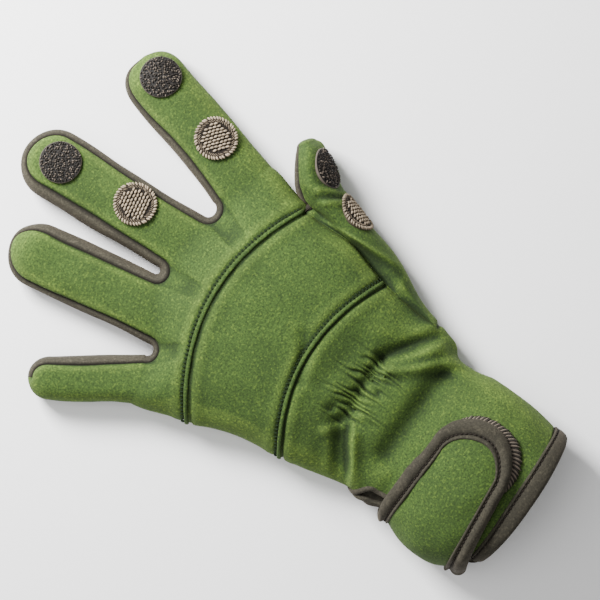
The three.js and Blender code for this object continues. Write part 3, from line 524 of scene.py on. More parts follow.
middleStations = np.linspace(knuckle, wristSeam, density["middleRows"] + 1)
wristStations = np.linspace(wristSeam, wrist, density["wristRows"] + 1)
palmStations = joined(middleStations, wristStations)
cuffStations = np.linspace(wrist, hem, density["cuffRows"] + 1)
sideRow = handPoint(knuckle, ulnarAngles)
radialRow = handPoint(knuckle, radialAngles)

# The thumb's loops: the first is the opening between the hand's panels, the rest its sections.
opening = joined(
    handPoint(palmStations, hand["thumbTop"]),
    handPoint(wrist, lowerRadial),
    handPoint(palmStations[::-1], hand["thumbUnder"]),
    handPoint(knuckle, lowerRadial[::-1]),
)
flank = sine(60)
backSteps = len(palmStations) - 1
loopAngles = joined(
    degreesOf(np.linspace(-flank, flank, backSteps + 1)),
    np.linspace(60, 120, lowSteps + 1),
    180 - degreesOf(np.linspace(flank, -flank, backSteps + 1)),
    np.linspace(240, 300, lowSteps + 1),
)


def thumbLoops():
    # a section is a loop: its ridge leans towards the inner end; a smooth cubic runs through all
    # sections, and the last one closes over the tip as a quarter ellipse
    share = np.sin(np.radians(loopAngles))[None, :]
    over = np.cos(np.radians(loopAngles))[None, :] >= 0
    row = thumbRows[:, :, None]
    x = toX(mix(row[:, 0], row[:, 2], (share + 1) / 2))
    y = toY(mix(row[:, 1], row[:, 3], (share + 1) / 2))
    crown = row[:, 4] * hand["thumbHeight"]
    side = crown * hand["thumbWidest"]
    leaning = share + row[:, 5] * (1 - share * share)
    top = side + (crown - side) * dome(leaning, 2)
    sections = np.stack([x, y, np.where(over, top, side * soleRise(share))], -1)
    loops = np.concatenate([opening[None], sections])
    last = len(loops) - 1
    at = np.linspace(0, last, last * density["thumbPerRow"] + 1)
    i = np.minimum(at.astype(int), last - 1)
    t = (at - i)[:, None, None]
    before, after = np.maximum(i - 1, 0), np.minimum(i + 2, last)
    leave = (loops[i + 1] - loops[before]) / (i + 1 - before)[:, None, None]
    arrive = (loops[after] - loops[i]) / (after - i)[:, None, None]
    smooth = hermite(loops[i], loops[i + 1], leave, arrive, t)
    smooth[0] = opening
    turn = np.linspace(0, np.pi / 2, density["thumbCap"] + 1)[1:, None, None]
    centre = smooth[-1].mean(0)
    tip = np.array([toX(thumbTip[0]), toY(thumbTip[1]), side[-1, 0]])
    full = (np.cos(turn) ** 2.15 + np.sin(turn) ** 2.15) ** (-1 / 2.15)
    cap = centre + (smooth[-1] - centre) * np.cos(turn) * full + (tip - centre) * np.sin(turn) * full
    cap[-1] = tip
    return np.concatenate([smooth, cap])


loops = thumbLoops()
capRow = thumbCapFrom * density["thumbPerRow"]
backEnd = backSteps + lowSteps
capFrom = round(density["alongFinger"] * 5 / 6)

# The panels of the skin: each a list of grids, and whether a grid's faces are turned round.
palmGrids = [
    (bridge(underRoots, handPoint(knuckle, soleAngles), density["bridge"]), False),
    (handGrid(palmStations, soleAngles), False),
]
panels = {
    "back_finger_panel": [(tops[name], False) for name in fingerOrder] + [
        (sides["little"][:tipStep + 1], True),
        (sides["index"][tipStep:], True),
        (bridge(topRoots, handPoint(knuckle, backAngles), density["bridge"]), True),
        (bridge(sides["little"][0], sideRow, density["bridge"]), False),
        (bridge(sides["index"][-1], radialRow, density["bridge"]), True),
    ],
    "back_middle_panel": [(handGrid(middleStations, middleAngles), True)],
    "back_wrist_panel": [
        (handGrid(wristStations, wristAngles), True),
        (cuffGrid(cuffStations, cuffBackAngles, False), True),
    ],
    "palm_panel": palmGrids,
    "thumb_back": [(loops[:, :backEnd + 1], False)],
    "thumb_palm": [(loops[:capRow + 1, backEnd:], False)],
    "thumb_cap_underside": [(loops[capRow:, backEnd:], False)],
    "cuff_palm_panel": [(cuffGrid(cuffStations, cuffPalmAngles, True), False)],
}
for (left, right), crotch in crotches.items():
    rows = joined(sides[left][tipStep:], crotch, sides[right][:tipStep + 1])
    panels[f"gusset_{left}_{right}"] = [(rows, True)]
for name in fingerOrder:
    if name in ("index", "middle"):
        capEnd = len(unders[name]) - 1 - capFrom
        palmGrids.append((unders[name][:capFrom + 1], True))
        palmGrids.append((unders[name][capEnd:], True))
        panels[f"{name}_cap_underside"] = [(unders[name][capFrom:capEnd + 1], True)]
    else:
        palmGrids.append((unders[name], True))
print("skin: panels laid out")


def gridQuads(rows, columns, start, flip=False):
    ids = start + np.arange(rows * columns).reshape(rows, columns)
    quads = np.stack([ids[:-1, :-1], ids[:-1, 1:], ids[1:, 1:], ids[1:, :-1]], -1).reshape(-1, 4)
    return quads[:, ::-1] if flip else quads


def partedFaces(quads):
    # quads with two joined corners become triangles
    same = quads == np.roll(quads, -1, axis=1)
    bent = quads[same.sum(1) == 1]
    drop = np.argmax(bent == np.roll(bent, -1, axis=1), axis=1)
    return quads[same.sum(1) == 0], np.take_along_axis(bent, (drop[:, None] + 1 + np.arange(3)) % 4, 1)


def welded(points, quads, step=2000):
    # corners that round to one step become one
    key = np.round(points * step).astype(np.int64)
    firstOf, idOf = np.unique(key, axis=0, return_index=True, return_inverse=True)[1:]
    return points[firstOf], *partedFaces(idOf.ravel()[quads]), idOf.ravel()


def unit(vectors):
    return vectors / np.maximum(np.linalg.norm(vectors, axis=-1, keepdims=True), 1e-9)


def normalsOf(points, quads, triangles):
    # mean of the faces round each point, weighted by area: cross products of their diagonals
    total = np.zeros_like(points)
    a, b, c, d = (points[quads[:, k]] for k in range(4))
    e, f, g = (points[triangles[:, k]] for k in range(3))
    for faces, vectors in ((quads, np.cross(c - a, d - b)), (triangles, np.cross(f - e, g - e))):
        for axis in range(3):
            weights = np.repeat(vectors[:, axis], faces.shape[1])
            total[:, axis] += np.bincount(faces.ravel(), weights, len(points))
    return unit(total)


def distanceTo(points, line, chunk=4000):
    # distance from every point to the nearest point of a line, in blocks
    found = np.empty(len(points))
    lineSquare = (line ** 2).sum(1)
    for start in range(0, len(points), chunk):
        block = points[start:start + chunk]
        square = (block ** 2).sum(1)[:, None] + lineSquare - 2 * block @ line.T
        found[start:start + chunk] = np.sqrt(np.maximum(square.min(1), 0))
    return found


def ripple(points, wavelength, seed):
    # soft even noise of about one: six sines that run in fixed random directions
    directions = np.random.default_rng(seed).normal(size=(6, 3))
    directions /= np.linalg.norm(directions, axis=1, keepdims=True)
    phases = np.random.default_rng(seed + 1).uniform(0, 2 * np.pi, 6)
    return np.sin(points @ directions.T * (2 * np.pi / wavelength) + phases).mean(1) * 1.6


def addNode(tree, kind, settings=None, links=None):
    # one shader node: settings go to its properties or sockets, links join its sockets
    node = tree.nodes.new("ShaderNode" + kind)
    for key, value in (settings or {}).items():
        if isinstance(key, str) and hasattr(node, key):
            setattr(node, key, value)
        else:
            node.inputs[key].default_value = value
    for key, source in (links or {}).items():
        tree.links.new(source, node.inputs[key])
    return node


def toLinear(hexColour):
    # sRGB hex to linear light
    parts = [int(hexColour[i:i + 2], 16) / 255 for i in (1, 3, 5)]
    return tuple(c / 12.92 if c <= 0.04045 else ((c + 0.055) / 1.055) ** 2.4 for c in parts) + (1.0,)


def perSize(size):
    # scale of a noise whose grains are this many millimetres
    return 1 / (size * mm)


def colourMix(tree, factor, first, second, blend="MIX"):
    node = addNode(tree, "Mix", {"data_type": "RGBA", "blend_type": blend})
    for index, value in ((0, factor), (6, first), (7, second)):
        if isinstance(value, (float, int, tuple)):
            node.inputs[index].default_value = value
        else:
            tree.links.new(value, node.inputs[index])
    return node.outputs[2]


# crest: the factor that the colour is multiplied by on crests, a painted highlight
plainLook = {
    "sheenTint": "#ffffff", "nap": 0.3, "fleck": 0.5, "drift": 5.0, "driftAmount": 0.2, "fleckAmount": 0.2,
    "bump": 0.2, "napHeight": 0.05, "crest": (1.3, 1.3, 1.3), "roughness": 0.8, "ior": 1.5, "sheen": 0.0,
    "specular": 0.12,
}


def clothMaterial(name, slot, colours, **changes):
    # a matt cloth: two colours mottled by a noise of the nap's size, drifts of a darker tone at random
    # over centimetres, flecks, short fibres in the bump; painted light multiplied onto crests; and a
    # mix towards the seam colour: a darker line along the seams, thread and painted shadow both,
    # painted shade in grooves and hollows, and the tapes' pale parts, some of them painted glints
    look = {**plainLook, **changes}
    dark, light, shade, fleckColour, seamColour = (toLinear(colour) for colour in colours.split())
    material = bpy.data.materials.new(name)
    material.use_nodes = True
    tree = material.node_tree
    tree.nodes.clear()
    place = {"Vector": addNode(tree, "TexCoord").outputs["Object"]}
    napGrain = {"Scale": perSize(look["nap"]), "Detail": 3.0, "Roughness": 0.6}
    nap = addNode(tree, "TexNoise", napGrain, place).outputs[0]
    fleck, drift = (
        addNode(tree, "TexNoise", {"Scale": perSize(look[key]), "Detail": 2.0}, place).outputs[0]
        for key in ("fleck", "drift"))
    napRange = addNode(tree, "MapRange", {1: 0.3, 2: 0.7}, {0: nap}).outputs[0]
    driftRange = addNode(tree, "MapRange", {1: 0.35, 2: 0.65, 4: look["driftAmount"]}, {0: drift}).outputs[0]
    fleckRange = addNode(tree, "MapRange", {1: 0.56, 2: 0.7, 4: look["fleckAmount"]}, {0: fleck}).outputs[0]
    crest, seam = (
        addNode(tree, "Attribute", {"attribute_name": key}).outputs["Fac"]
        for key in ("paintedCrestLight", "seamToneAndPaintedShade"))
    colour = colourMix(tree, napRange, dark, light)
    colour = colourMix(tree, driftRange, colour, shade)
    colour = colourMix(tree, fleckRange, colour, fleckColour)
    # painted light: the colour is multiplied up on crests
    colour = colourMix(tree, crest, colour, look["crest"] + (1.0,), "MULTIPLY")
    # the seam colour: the seams' darker line with painted shadow in it, painted shade in grooves and
    # hollows, the tapes' pale parts
    colour = colourMix(tree, seam, colour, seamColour)
    height = addNode(tree, "Math", {"operation": "ADD"}, {0: nap, 1: fleck}).outputs[0]
    bump = addNode(tree, "Bump", {"Strength": look["bump"], "Distance": look["napHeight"] * mm},
                   {"Height": height})
    shader = addNode(tree, "BsdfPrincipled", {
        "Roughness": look["roughness"], "IOR": look["ior"], "Sheen Weight": look["sheen"],
        "Sheen Roughness": 0.5, "Specular IOR Level": look["specular"],
        "Sheen Tint": toLinear(look["sheenTint"]),
    }, {"Base Color": colour, "Normal": bump.outputs[0]})
    addNode(tree, "OutputMaterial", {}, {"Surface": shader.outputs[0]})
    return material


# Colours: dark, light, shade (the drifts' tone), fleck and seam (which also takes the painted shade of
# grooves and hollows).
# Brushed polyester jersey bonded to foam rubber: a mottled fleecy nap about a millimetre across.
# crest: a yellow-green painted highlight on the jersey's crests
jersey = clothMaterial(
    "brushedJerseyNeoprene", "jersey_neoprene", "#233118 #405726 #26351a #60782f #121a12",
    sheenTint="#a9c46a", nap=0.85, fleck=1.15, drift=22.0, driftAmount=0.4, fleckAmount=0.38, bump=0.35,
    napHeight=0.35, crest=(2.4, 2.1, 1.8), roughness=0.92, sheen=0.05, specular=0.15)
# Synthetic suede: microfibre with a short buffed nap, so it is matt and a little cloudy.
# crest: a grey painted highlight on the suede's crests
suede = clothMaterial(
    "syntheticSuede", "suede", "#24221c #3c392f #201f1a #5a5547 #100d0b",
    sheenTint="#c0a890", nap=0.7, fleck=1.3, drift=12.0, driftAmount=0.4, fleckAmount=0.25, bump=0.3,
    napHeight=0.2, crest=(1.8, 1.8, 1.8), roughness=0.95, sheen=0.08, specular=0.2)
# Nylon hook tape, dark brown: stiff moulded-looking hooks with a slight shine.
hookTape = clothMaterial(
    "nylonHookTape", "hook_tape", "#0d0b0a #191613 #0f0d0b #2e2924 #6a6055",
    nap=0.6, fleck=1.1, drift=4.0, fleckAmount=0.4, bump=0.5, napHeight=0.3, roughness=0.7, ior=1.53,
    specular=0.2)
# Loop tape, undyed nylon: pale looped yarn over a darker knitted ground.
loopTape = clothMaterial(
    "nylonLoopTape", "loop_tape", "#14110e #211c17 #15120e #39322a #9a8b76",
    nap=0.5, fleck=0.9, drift=6.0, fleckAmount=0.3, bump=0.4, napHeight=0.2, roughness=0.9, specular=0.15)
# Polyester sewing thread: fine, twisted, slightly glossy.
threadGreen = clothMaterial(
    "greenSewingThread", "jersey_neoprene", "#121d10 #1e2d18 #101a0e #2c3d20 #1d2c12")
threadBrown = clothMaterial("brownSewingThread", "suede", "#171310 #2c2621 #181411 #453c34 #171310")
print("materials: made")


noTriangles = np.zeros((0, 3), int)


def makePiece(name, points, quads, triangles, material, nodes=(), shade=None, crest=None):
    # a mesh in metres from arrays in millimetres, smooth, riding on the one body
    mesh = bpy.data.meshes.new(name)
    corners = np.concatenate([quads.ravel(), triangles.ravel()]).astype(np.int32)
    starts = np.concatenate([np.arange(len(quads)) * 4, len(quads) * 4 + np.arange(len(triangles)) * 3])
    mesh.vertices.add(len(points))
    mesh.vertices.foreach_set("co", (points * mm).astype(np.float32).ravel())
    mesh.loops.add(len(corners))
    mesh.loops.foreach_set("vertex_index", corners)
    mesh.polygons.add(len(starts))
    mesh.polygons.foreach_set("loop_start", starts.astype(np.int32))
    mesh.update(calc_edges=True)
    mesh.polygons.foreach_set("use_smooth", np.ones(len(starts), bool))
    # attributes: the mix towards the seam colour, painted shade included, and the painted light on crests
    for key, values in (("seamToneAndPaintedShade", shade), ("paintedCrestLight", crest)):
        if values is not None:
            attribute = mesh.attributes.new(key, "FLOAT", "POINT")
            attribute.data.foreach_set("value", values.astype(np.float32))
    mesh.materials.append(material)
    piece = bpy.data.objects.new(name, mesh)
    bpy.context.scene.collection.objects.link(piece)
    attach(piece, "root")
    if nodes:
        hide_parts(*nodes)


def walled(points, quads, triangles, normals, thickness):
    # a sheet's inner copy lies a wall's thickness under it along the normals, never under the
    # floor; the edges that only one face has get a rim between the two
    count = len(points)
    edges = np.concatenate([faces[:, [k, (k + 1) % faces.shape[1]]]
                            for faces in (quads, triangles) for k in range(faces.shape[1])])
    _, first, times = np.unique(np.sort(edges, 1) @ [count, 1], return_index=True, return_counts=True)
    a, b = edges[first[times == 1]].T
    rim = np.column_stack([b, a, a + count, b + count])
    return (np.concatenate([points, offFloor(points - normals * thickness)]),
            np.concatenate([quads, quads[:, ::-1] + count, rim]),
            np.concatenate([triangles, triangles[:, ::-1] + count]))


def offFloor(points):
    return np.concatenate([points[..., :2], np.maximum(points[..., 2:], skin["floor"])], -1)


def fan(ring, middle):
    # triangles from a closed row of points to its middle point
    return np.stack([np.roll(ring, -1), ring, np.full(len(ring), middle)], -1)


def ringQuads(grid):
    # numbers of a grid's points, and the faces that join its closed rows
    ids = np.arange(grid.shape[0] * grid.shape[1]).reshape(grid.shape[:2])
    turned = np.roll(ids, -1, axis=1)
    return ids, np.stack([ids[:-1], turned[:-1], turned[1:], ids[1:]], -1).reshape(-1, 4)


def sweep(name, rings, material, nodes=(), shade=0):
    # closed rows of points joined along their length and capped at both ends; the faces are
    # turned round if the volume comes out negative
    ids, quads = ringQuads(rings)
    triangles = np.concatenate([fan(ids[0], ids.size), fan(ids[-1], ids.size + 1)[:, [1, 0, 2]]])
    points = np.concatenate([rings.reshape(-1, 3), rings[[0, -1]].mean(1)])
    a, b, c, d = (points[quads[:, k]] for k in range(4))
    e, f, g = (points[triangles[:, k]] for k in range(3))
    volume = (a * np.cross(b, c)).sum() + (a * np.cross(c, d)).sum() + (e * np.cross(f, g)).sum()
    if volume < 0:
        quads, triangles = quads[:, ::-1], triangles[:, ::-1]
    flat = np.concatenate([np.broadcast_to(shade, ids.shape).ravel(), [0, 0]])
    makePiece(name, points, quads, triangles, material, nodes, flat)


# Skin: one welded surface, so that neighbouring panels share their points and normals.
skin = {
    "jerseyWall": 2.4, "suedeWall": 1.6,
    "seamDepth": 1.0, "seamReach": 1.0, "seamShadeReach": 0.62,  # groove where panels meet
    "ridgeAway": 1.6, "ridgeDepth": 1.0, "ridgeReach": 0.65,  # the two grooves of an arched seam
    # painted shade in those two grooves
    "ridgeShade": 0.85, "ridgeShadeReach": 0.5,
    # the cloth puffs up beside an arched seam and beside a plain one
    "puffAway": 5.0, "puffReach": 2.2, "puffLift": 0.35,
    "sidePuffAway": 3.0, "sidePuffReach": 1.6, "sidePuffLift": 0.25,
    "ripple": 0.22, "rippleLength": 17.0, "floor": 0.03,
    # hollows get painted shade and crests painted light, by how far a point lies from its smoothed place
    "hollowRounds": 12, "hollowPaintedShade": 1.6, "hollowMost": 0.7,
    "paintedCrestLight": 1.3, "crestFrom": 0.04, "crestMost": 0.55,
}
# Soft places: the webs behind the crotches and the thumb's tip are relaxed to rounder shapes; the webs also
# get less painted shade in their hollows.
calmed = {"rounds": 40, "webBack": 5.5, "web": 7.0, "seam": 1.6, "tipHeight": 12.0, "tip": 6.5, "share": 0.8}
# The thumb's own folds, in the same columns as the hand's.
thumbFolds = np.array([
    [60.6, 15, 64.5, 4, 1.5, 0.8],
    [57.3, 9.1, 61.5, 2, 1.4, 0.8],
    [57, 13.5, 62.8, 4.6, 1.2, -0.6],
])
# Places where the filled cloth bulges sideways past its section. Columns: where, reach and move.
bulges = np.array([
    [31, -69.5, 9, 5.8, 1.9, -3.3, 0],
    [26, -87.5, 10, 2.6, -1, 0, 0],
    [26.5, -94, 10, 4, 0.7, 0, 0],
    [-49, -72.5, 15, 6.5, -5, 0, 0],
    [78.5, 25.5, 12, 4.2, 1.7, -0.3, 0],
    [-51, -126, 18, 15, 4.2, 0.6, 0],
])
# The pocket between the back panels' edge and a straight fold of the thumb's skin.
pocket = {
    "ridgeX": 49.7, "from": 11.0, "to": -37.0, "depth": 5.0, "ridge": 1.3, "ridgeReach": 1.2,
    "lean": 0.65, "lip": 1.6, "narrow": 3.0, "foot": 7.0, "rise": 5.0,
}

names, grids, flips = zip(*[(name, grid, flip) for name in panels for grid, flip in panels[name]])
starts = np.cumsum([0] + [grid.shape[0] * grid.shape[1] for grid in grids])
quadLists = [gridQuads(*grid.shape[:2], start, flip) for grid, start, flip in zip(grids, starts, flips)]
allPoints = np.concatenate([grid.reshape(-1, 3) for grid in grids])
skinPoints, skinQuads, skinTriangles, idOf = welded(allPoints, np.concatenate(quadLists))
skinNormals = normalsOf(skinPoints, skinQuads, skinTriangles)

plainSeams = [tops[name][:, 0] for name in ("ring", "middle")]
plainSeams += [tops["little"][tipStep:, 0], tops["index"][:tipStep + 1, 0]]
plainSeams += [crotch[:, column] for crotch in crotches.values() for column in (0, -1)]
plainSeams += [sides[name][:, -1] for name in fingerOrder]
plainSeams += [handPoint(palmStations, -hand["seamUnder"]), opening[len(palmStations):]]
plainSeams += [loops[:, 0], loops[:, backEnd], loops[capRow, backEnd + 16:-16]]
plainSeams += [unders[name][row] for name in ("index", "middle") for row in (capFrom, -1 - capFrom)]
plainSeams += [cuffGrid(cuffStations, cuffBackAngles, False)[:, -1]]
archedSeams = [handPoint(knuckle, middleAngles), handPoint(wristSeam, middleAngles)]


def pocketSink(points):
    # a half sine between the edge and the fold, deepest halfway along, and a bell on the fold;
    # it fades out towards the sole
    line = opening[:len(palmStations)][::-1]
    edgeX = np.interp(points[:, 1], line[:, 1], line[:, 0])
    width = np.maximum(pocket["ridgeX"] - edgeX, 0.5)
    through = np.clip((points[:, 0] - edgeX + pocket["lip"]) / (width + pocket["lip"]), 0, 1)
    m = np.clip((pocket["from"] - points[:, 1]) / (pocket["from"] - pocket["to"]), 0, 1)
    wide = np.clip(width / pocket["narrow"], 0, 1) * np.sqrt(np.sin(np.pi * m))
    fold = bell(points[:, 0] - pocket["ridgeX"], pocket["ridgeReach"]) * np.sin(np.pi * m)
    deep = pocket["depth"] * np.sin(np.pi * through ** pocket["lean"]) * wide - pocket["ridge"] * fold
    return deep * np.clip((points[:, 2] - pocket["foot"]) / pocket["rise"], 0, 1)


def bulgeShift(points):
    # each bulge is a bell round its middle, and they add up
    shift = np.zeros_like(points)
    for bulge in bulges:
        away = np.linalg.norm(points - bulge[:3], axis=-1)
        shift += bell(away, bulge[3])[..., None] * bulge[4:]
    return shift


def relaxed(points, quads, triangles, rounds):
    # each point goes to the mean of its neighbours, a number of times
    edges = np.concatenate([faces[:, [k, (k + 1) % faces.shape[1]]]
                            for faces in (quads, triangles) for k in range(faces.shape[1])])
    start, end = np.concatenate([edges, edges[:, ::-1]]).T
    count = np.maximum(np.bincount(start, minlength=len(points)), 1)[:, None]
    for _ in range(rounds):
        points = np.stack([np.bincount(start, points[end, k], len(points)) for k in range(3)], -1) / count
    return points


thumbIds = idOf[quadLists[names.index("thumb_back")]]
thumbStart = starts[names.index("thumb_back")]
onThumb = np.zeros(len(skinPoints))
onThumb[thumbIds] = 1
onThumb[idOf[thumbStart:thumbStart + backEnd + 1]] = 0  # its edge stays
nearPlain = distanceTo(skinPoints, np.concatenate(plainSeams))
nearArched = distanceTo(skinPoints, np.concatenate(archedSeams))
fromRidge = nearArched - skin["ridgeAway"]
sink = skin["seamDepth"] * bell(nearPlain, skin["seamReach"])
sink += skin["ridgeDepth"] * bell(fromRidge, skin["ridgeReach"])
sink -= skin["puffLift"] * bell(nearArched - skin["puffAway"], skin["puffReach"])
sink -= skin["sidePuffLift"] * bell(nearPlain - skin["sidePuffAway"], skin["sidePuffReach"])
sink -= skin["ripple"] * ripple(skinPoints, skin["rippleLength"], 3)
for fold in thumbFolds:
    line = mix(fold[:2], fold[2:4], np.linspace(0, 1, 30)[:, None])
    sink -= fold[5] * bell(distanceTo(skinPoints[:, :2], line), fold[4]) * (skinNormals[:, 2] > 0)
skinMoved = skinPoints - skinNormals * sink[:, None]
skinMoved[:, 2] -= pocketSink(skinPoints) * onThumb
skinMoved += bulgeShift(skinPoints)

calm = np.zeros(len(skinPoints))
for crotch in crotches.values():
    web = crotch[len(crotch) // 2, 0] - [0, calmed["webBack"], 0]
    calm = np.maximum(calm, bell(np.linalg.norm(skinPoints - web, axis=1), calmed["web"]))
calm *= 1 - bell(nearPlain, calmed["seam"])
tipSpot = [toX(thumbTip[0]), toY(thumbTip[1]), calmed["tipHeight"]]
atTip = bell(np.linalg.norm(skinPoints - tipSpot, axis=1), calmed["tip"])
smooth = relaxed(skinMoved, skinQuads, skinTriangles, calmed["rounds"])
skinMoved = offFloor(mix(skinMoved, smooth, np.maximum(calm, calmed["share"] * atTip)[:, None]))
movedNormals = normalsOf(skinMoved, skinQuads, skinTriangles)
smooth = relaxed(skinMoved, skinQuads, skinTriangles, skin["hollowRounds"])
hollow = ((smooth - skinMoved) * movedNormals).sum(1) * (1 - calmed["share"] * calm)
# mix towards the seam colour: a dark line along plain seams, thread and painted shadow both; painted shade
# in the grooves beside arched seams and in hollows
seamToneAndPaintedShade = np.maximum.reduce([
    bell(nearPlain, skin["seamShadeReach"]),
    skin["ridgeShade"] * bell(fromRidge, skin["ridgeShadeReach"]),
    np.clip(hollow * skin["hollowPaintedShade"], 0, skin["hollowMost"]),
])
# painted light on crests: how far a point stands out past its smoothed place
paintedCrestLight = np.clip(-hollow * skin["paintedCrestLight"] - skin["crestFrom"], 0, skin["crestMost"])
print("skin:", len(skinMoved), "points")

jerseyPanels = ("back_finger_panel", "back_middle_panel", "back_wrist_panel", "thumb_back")
for name in panels:
    own = np.concatenate([idOf[quads] for owner, quads in zip(names, quadLists) if owner == name])
    used, local = np.unique(own.ravel(), return_inverse=True)
    cloth, wall = (jersey, skin["jerseyWall"]) if name in jerseyPanels else (suede, skin["suedeWall"])
    sheet = walled(skinMoved[used], *partedFaces(local.reshape(-1, 4)), movedNormals[used], wall)
    shade, crest = np.tile(seamToneAndPaintedShade[used], 2), np.tile(paintedCrestLight[used], 2)
    makePiece(name + "_cloth", *sheet, cloth, [name], shade, crest)
print("skin: panels made")


def tubes(paths, radius, sides=6, up=(0.0, 0.0, 1.0)):
    # small rods along many paths at once: a ring of points round each path point, closed at
    # both ends; returns points, quads
    along = unit(np.gradient(paths, axis=1))
    across = unit(np.cross(along, np.broadcast_to(np.asarray(up, float), along.shape)))
    other = np.cross(across, along)
    turn = np.linspace(0, 2 * np.pi, sides, endpoint=False)[:, None]
    radius = np.broadcast_to(radius, paths.shape[:2])[:, :, None, None]
    spokes = across[:, :, None] * np.cos(turn) + other[:, :, None] * np.sin(turn)
    rings = paths[:, :, None] + radius * spokes
    ids = np.arange(rings.size // 3).reshape(rings.shape[:3])
    turned = np.roll(ids, -1, axis=2)
    walls = np.stack([ids[:, :-1], ids[:, 1:], turned[:, 1:], turned[:, :-1]], -1)
    caps = [ids[:, 0, :4], ids[:, -1, 3::-1]]
    if sides == 6:
        caps += [ids[:, 0][:, [0, 3, 4, 5]], ids[:, -1][:, [5, 4, 3, 0]]]
    return rings.reshape(-1, 3), np.concatenate([faces.reshape(-1, 4) for faces in [walls] + caps])


def together(*meshes):
    # several (points, quads) as one
    points, quads = zip(*meshes)
    starts = np.cumsum([0] + [len(some) for some in points])
    return np.concatenate(points), np.concatenate([some + start for some, start in zip(quads, starts)])


thread = np.array([0.6, 1, 1.1, 1, 0.6])  # a stitch's thickness along it, thin where it goes in


def stitches(middle, heading, up, long, bow, radius, axis=(0.0, 0.0, 1.0)):
    # short rods that bow up, one at each middle
    s = np.linspace(-1, 1, 5)[None, :, None]
    paths = middle[:, None] + heading[:, None] * s * long / 2 + up[:, None] * bow * (1 - s * s)
    return tubes(paths, radius * thread, up=axis)


def placesAlong(line, spacing):
    # evenly spaced places on a line of points: fractional indices
    reach = np.concatenate([[0], np.cumsum(np.linalg.norm(np.diff(line, axis=0), axis=1))])
    return np.interp(np.arange(spacing / 2, reach[-1], spacing), reach, np.arange(len(line)))


def pick(values, at):
    # linear value of an array's rows at fractional indices
    i = np.clip(at.astype(int), 0, len(values) - 2)
    return mix(values[i], values[i + 1], (at - i)[:, None])


# Arched seams: a piped ridge of jersey between two grooves, sewn over on its far side.
ridge = {
    "halfWidth": 0.95, "height": 0.75, "foot": -0.5, "profile": 24, "waver": 0.1, "waverLength": 9.0,
    "flankPaintedShade": 0.55, "sideFrom": 0.9,
    "stitchPitch": 1.9, "stitchLong": 1.7, "stitchBow": 0.35, "stitchRadius": 0.3, "stitchAway": 1.75,
    "stitchLift": -0.3, "step": 0.02,
}
firstShown = density["side"] // 2  # the seams end where the ulnar side turns under
for name, station in (("knuckle_seam", knuckle), ("wrist_seam", wristSeam)):
    line = handPoint(station, middleAngles)[firstShown:]
    apart = handPoint(station + (-ridge["step"] if station else ridge["step"]), middleAngles)[firstShown:]
    side = unit(np.gradient(line, axis=0))
    normal = unit(np.cross(side, unit(apart - line if station else line - apart)))
    normal *= np.sign(normal[:, 2:3] + 1e-6)
    ahead = unit(np.cross(normal, side))
    turn = np.linspace(0, 2 * np.pi, ridge["profile"], endpoint=False)
    waver = 1 + ridge["waver"] * ripple(line, ridge["waverLength"], 11)[:, None]
    wide = np.cos(turn) * ridge["halfWidth"] * waver
    high = np.maximum(np.sin(turn), ridge["foot"]) * ridge["height"] * waver
    rings = line[:, None] + ahead[:, None] * wide[..., None] + normal[:, None] * high[..., None]
    # painted shade on the ridge's flanks, where they go down into the grooves
    shade = np.where(np.abs(np.cos(turn)) > ridge["sideFrom"], ridge["flankPaintedShade"], 0)
    sweep(name + "_ridge", rings, jersey, [name], shade)
    at = placesAlong(line, ridge["stitchPitch"])
    lean, up = unit(pick(ahead, at)), unit(pick(normal, at))
    middle = pick(line, at) + lean * ridge["stitchAway"] + up * ridge["stitchLift"]
    sewn = stitches(middle, lean, up, ridge["stitchLong"], ridge["stitchBow"], ridge["stitchRadius"])
    makePiece(name + "_stitches", *sewn, noTriangles, threadGreen)
print("seams: made")


# Hook-and-loop coins. Each is laid on the curved place that its solid in the frame has.
coin = {
    "radius": 9.5, "height": 1.5, "sink": 0.8, "rings": 16, "turns": 96,
    "hookPitch": 1.15, "hookHeight": 0.7, "hookReach": 0.7, "hookRadius": 0.25, "paintedGlintHooks": 0.5,
    "loopAlong": 1.95, "loopAcross": 1.42, "loopRadius": 0.48, "loopHeight": 0.5,
    "innerRing": 6.9, "rimStitches": 42, "rimInner": 8.25, "rimOuter": 9.75, "rimRadius": 0.46,
    "hatchInner": 7.0, "hatchOuter": 8.2, "hatchRadius": 0.15,
}
# Each coin's turn of its rows, and how far it is nudged over its place and sunk, in millimetres; pale scales
# down the yarn's pale share, painted shade on the thumb's loop coin.
coinPlaces = {
    "index_hook_dot": {"turn": 0.0, "nudge": (0.4, -0.2), "lower": 0.3},
    "middle_hook_dot": {"turn": 0.0, "nudge": (0.1, -0.9), "lower": 0.3},
    "thumb_hook_dot": {"turn": 0.0, "nudge": (-0.9, -0.5), "lower": 0.9},
    "index_loop_dot": {"turn": -0.75, "nudge": (-0.1, -0.5), "lower": 0.3},
    "middle_loop_dot": {"turn": 0.1, "nudge": (-0.4, -0.7), "lower": 0.3},
    # its yarn is darker by the pale factor: painted shade
    "thumb_loop_dot": {"turn": 0.6, "nudge": (0.0, 0.0), "lower": 1.1, "pale": 0.7},
}


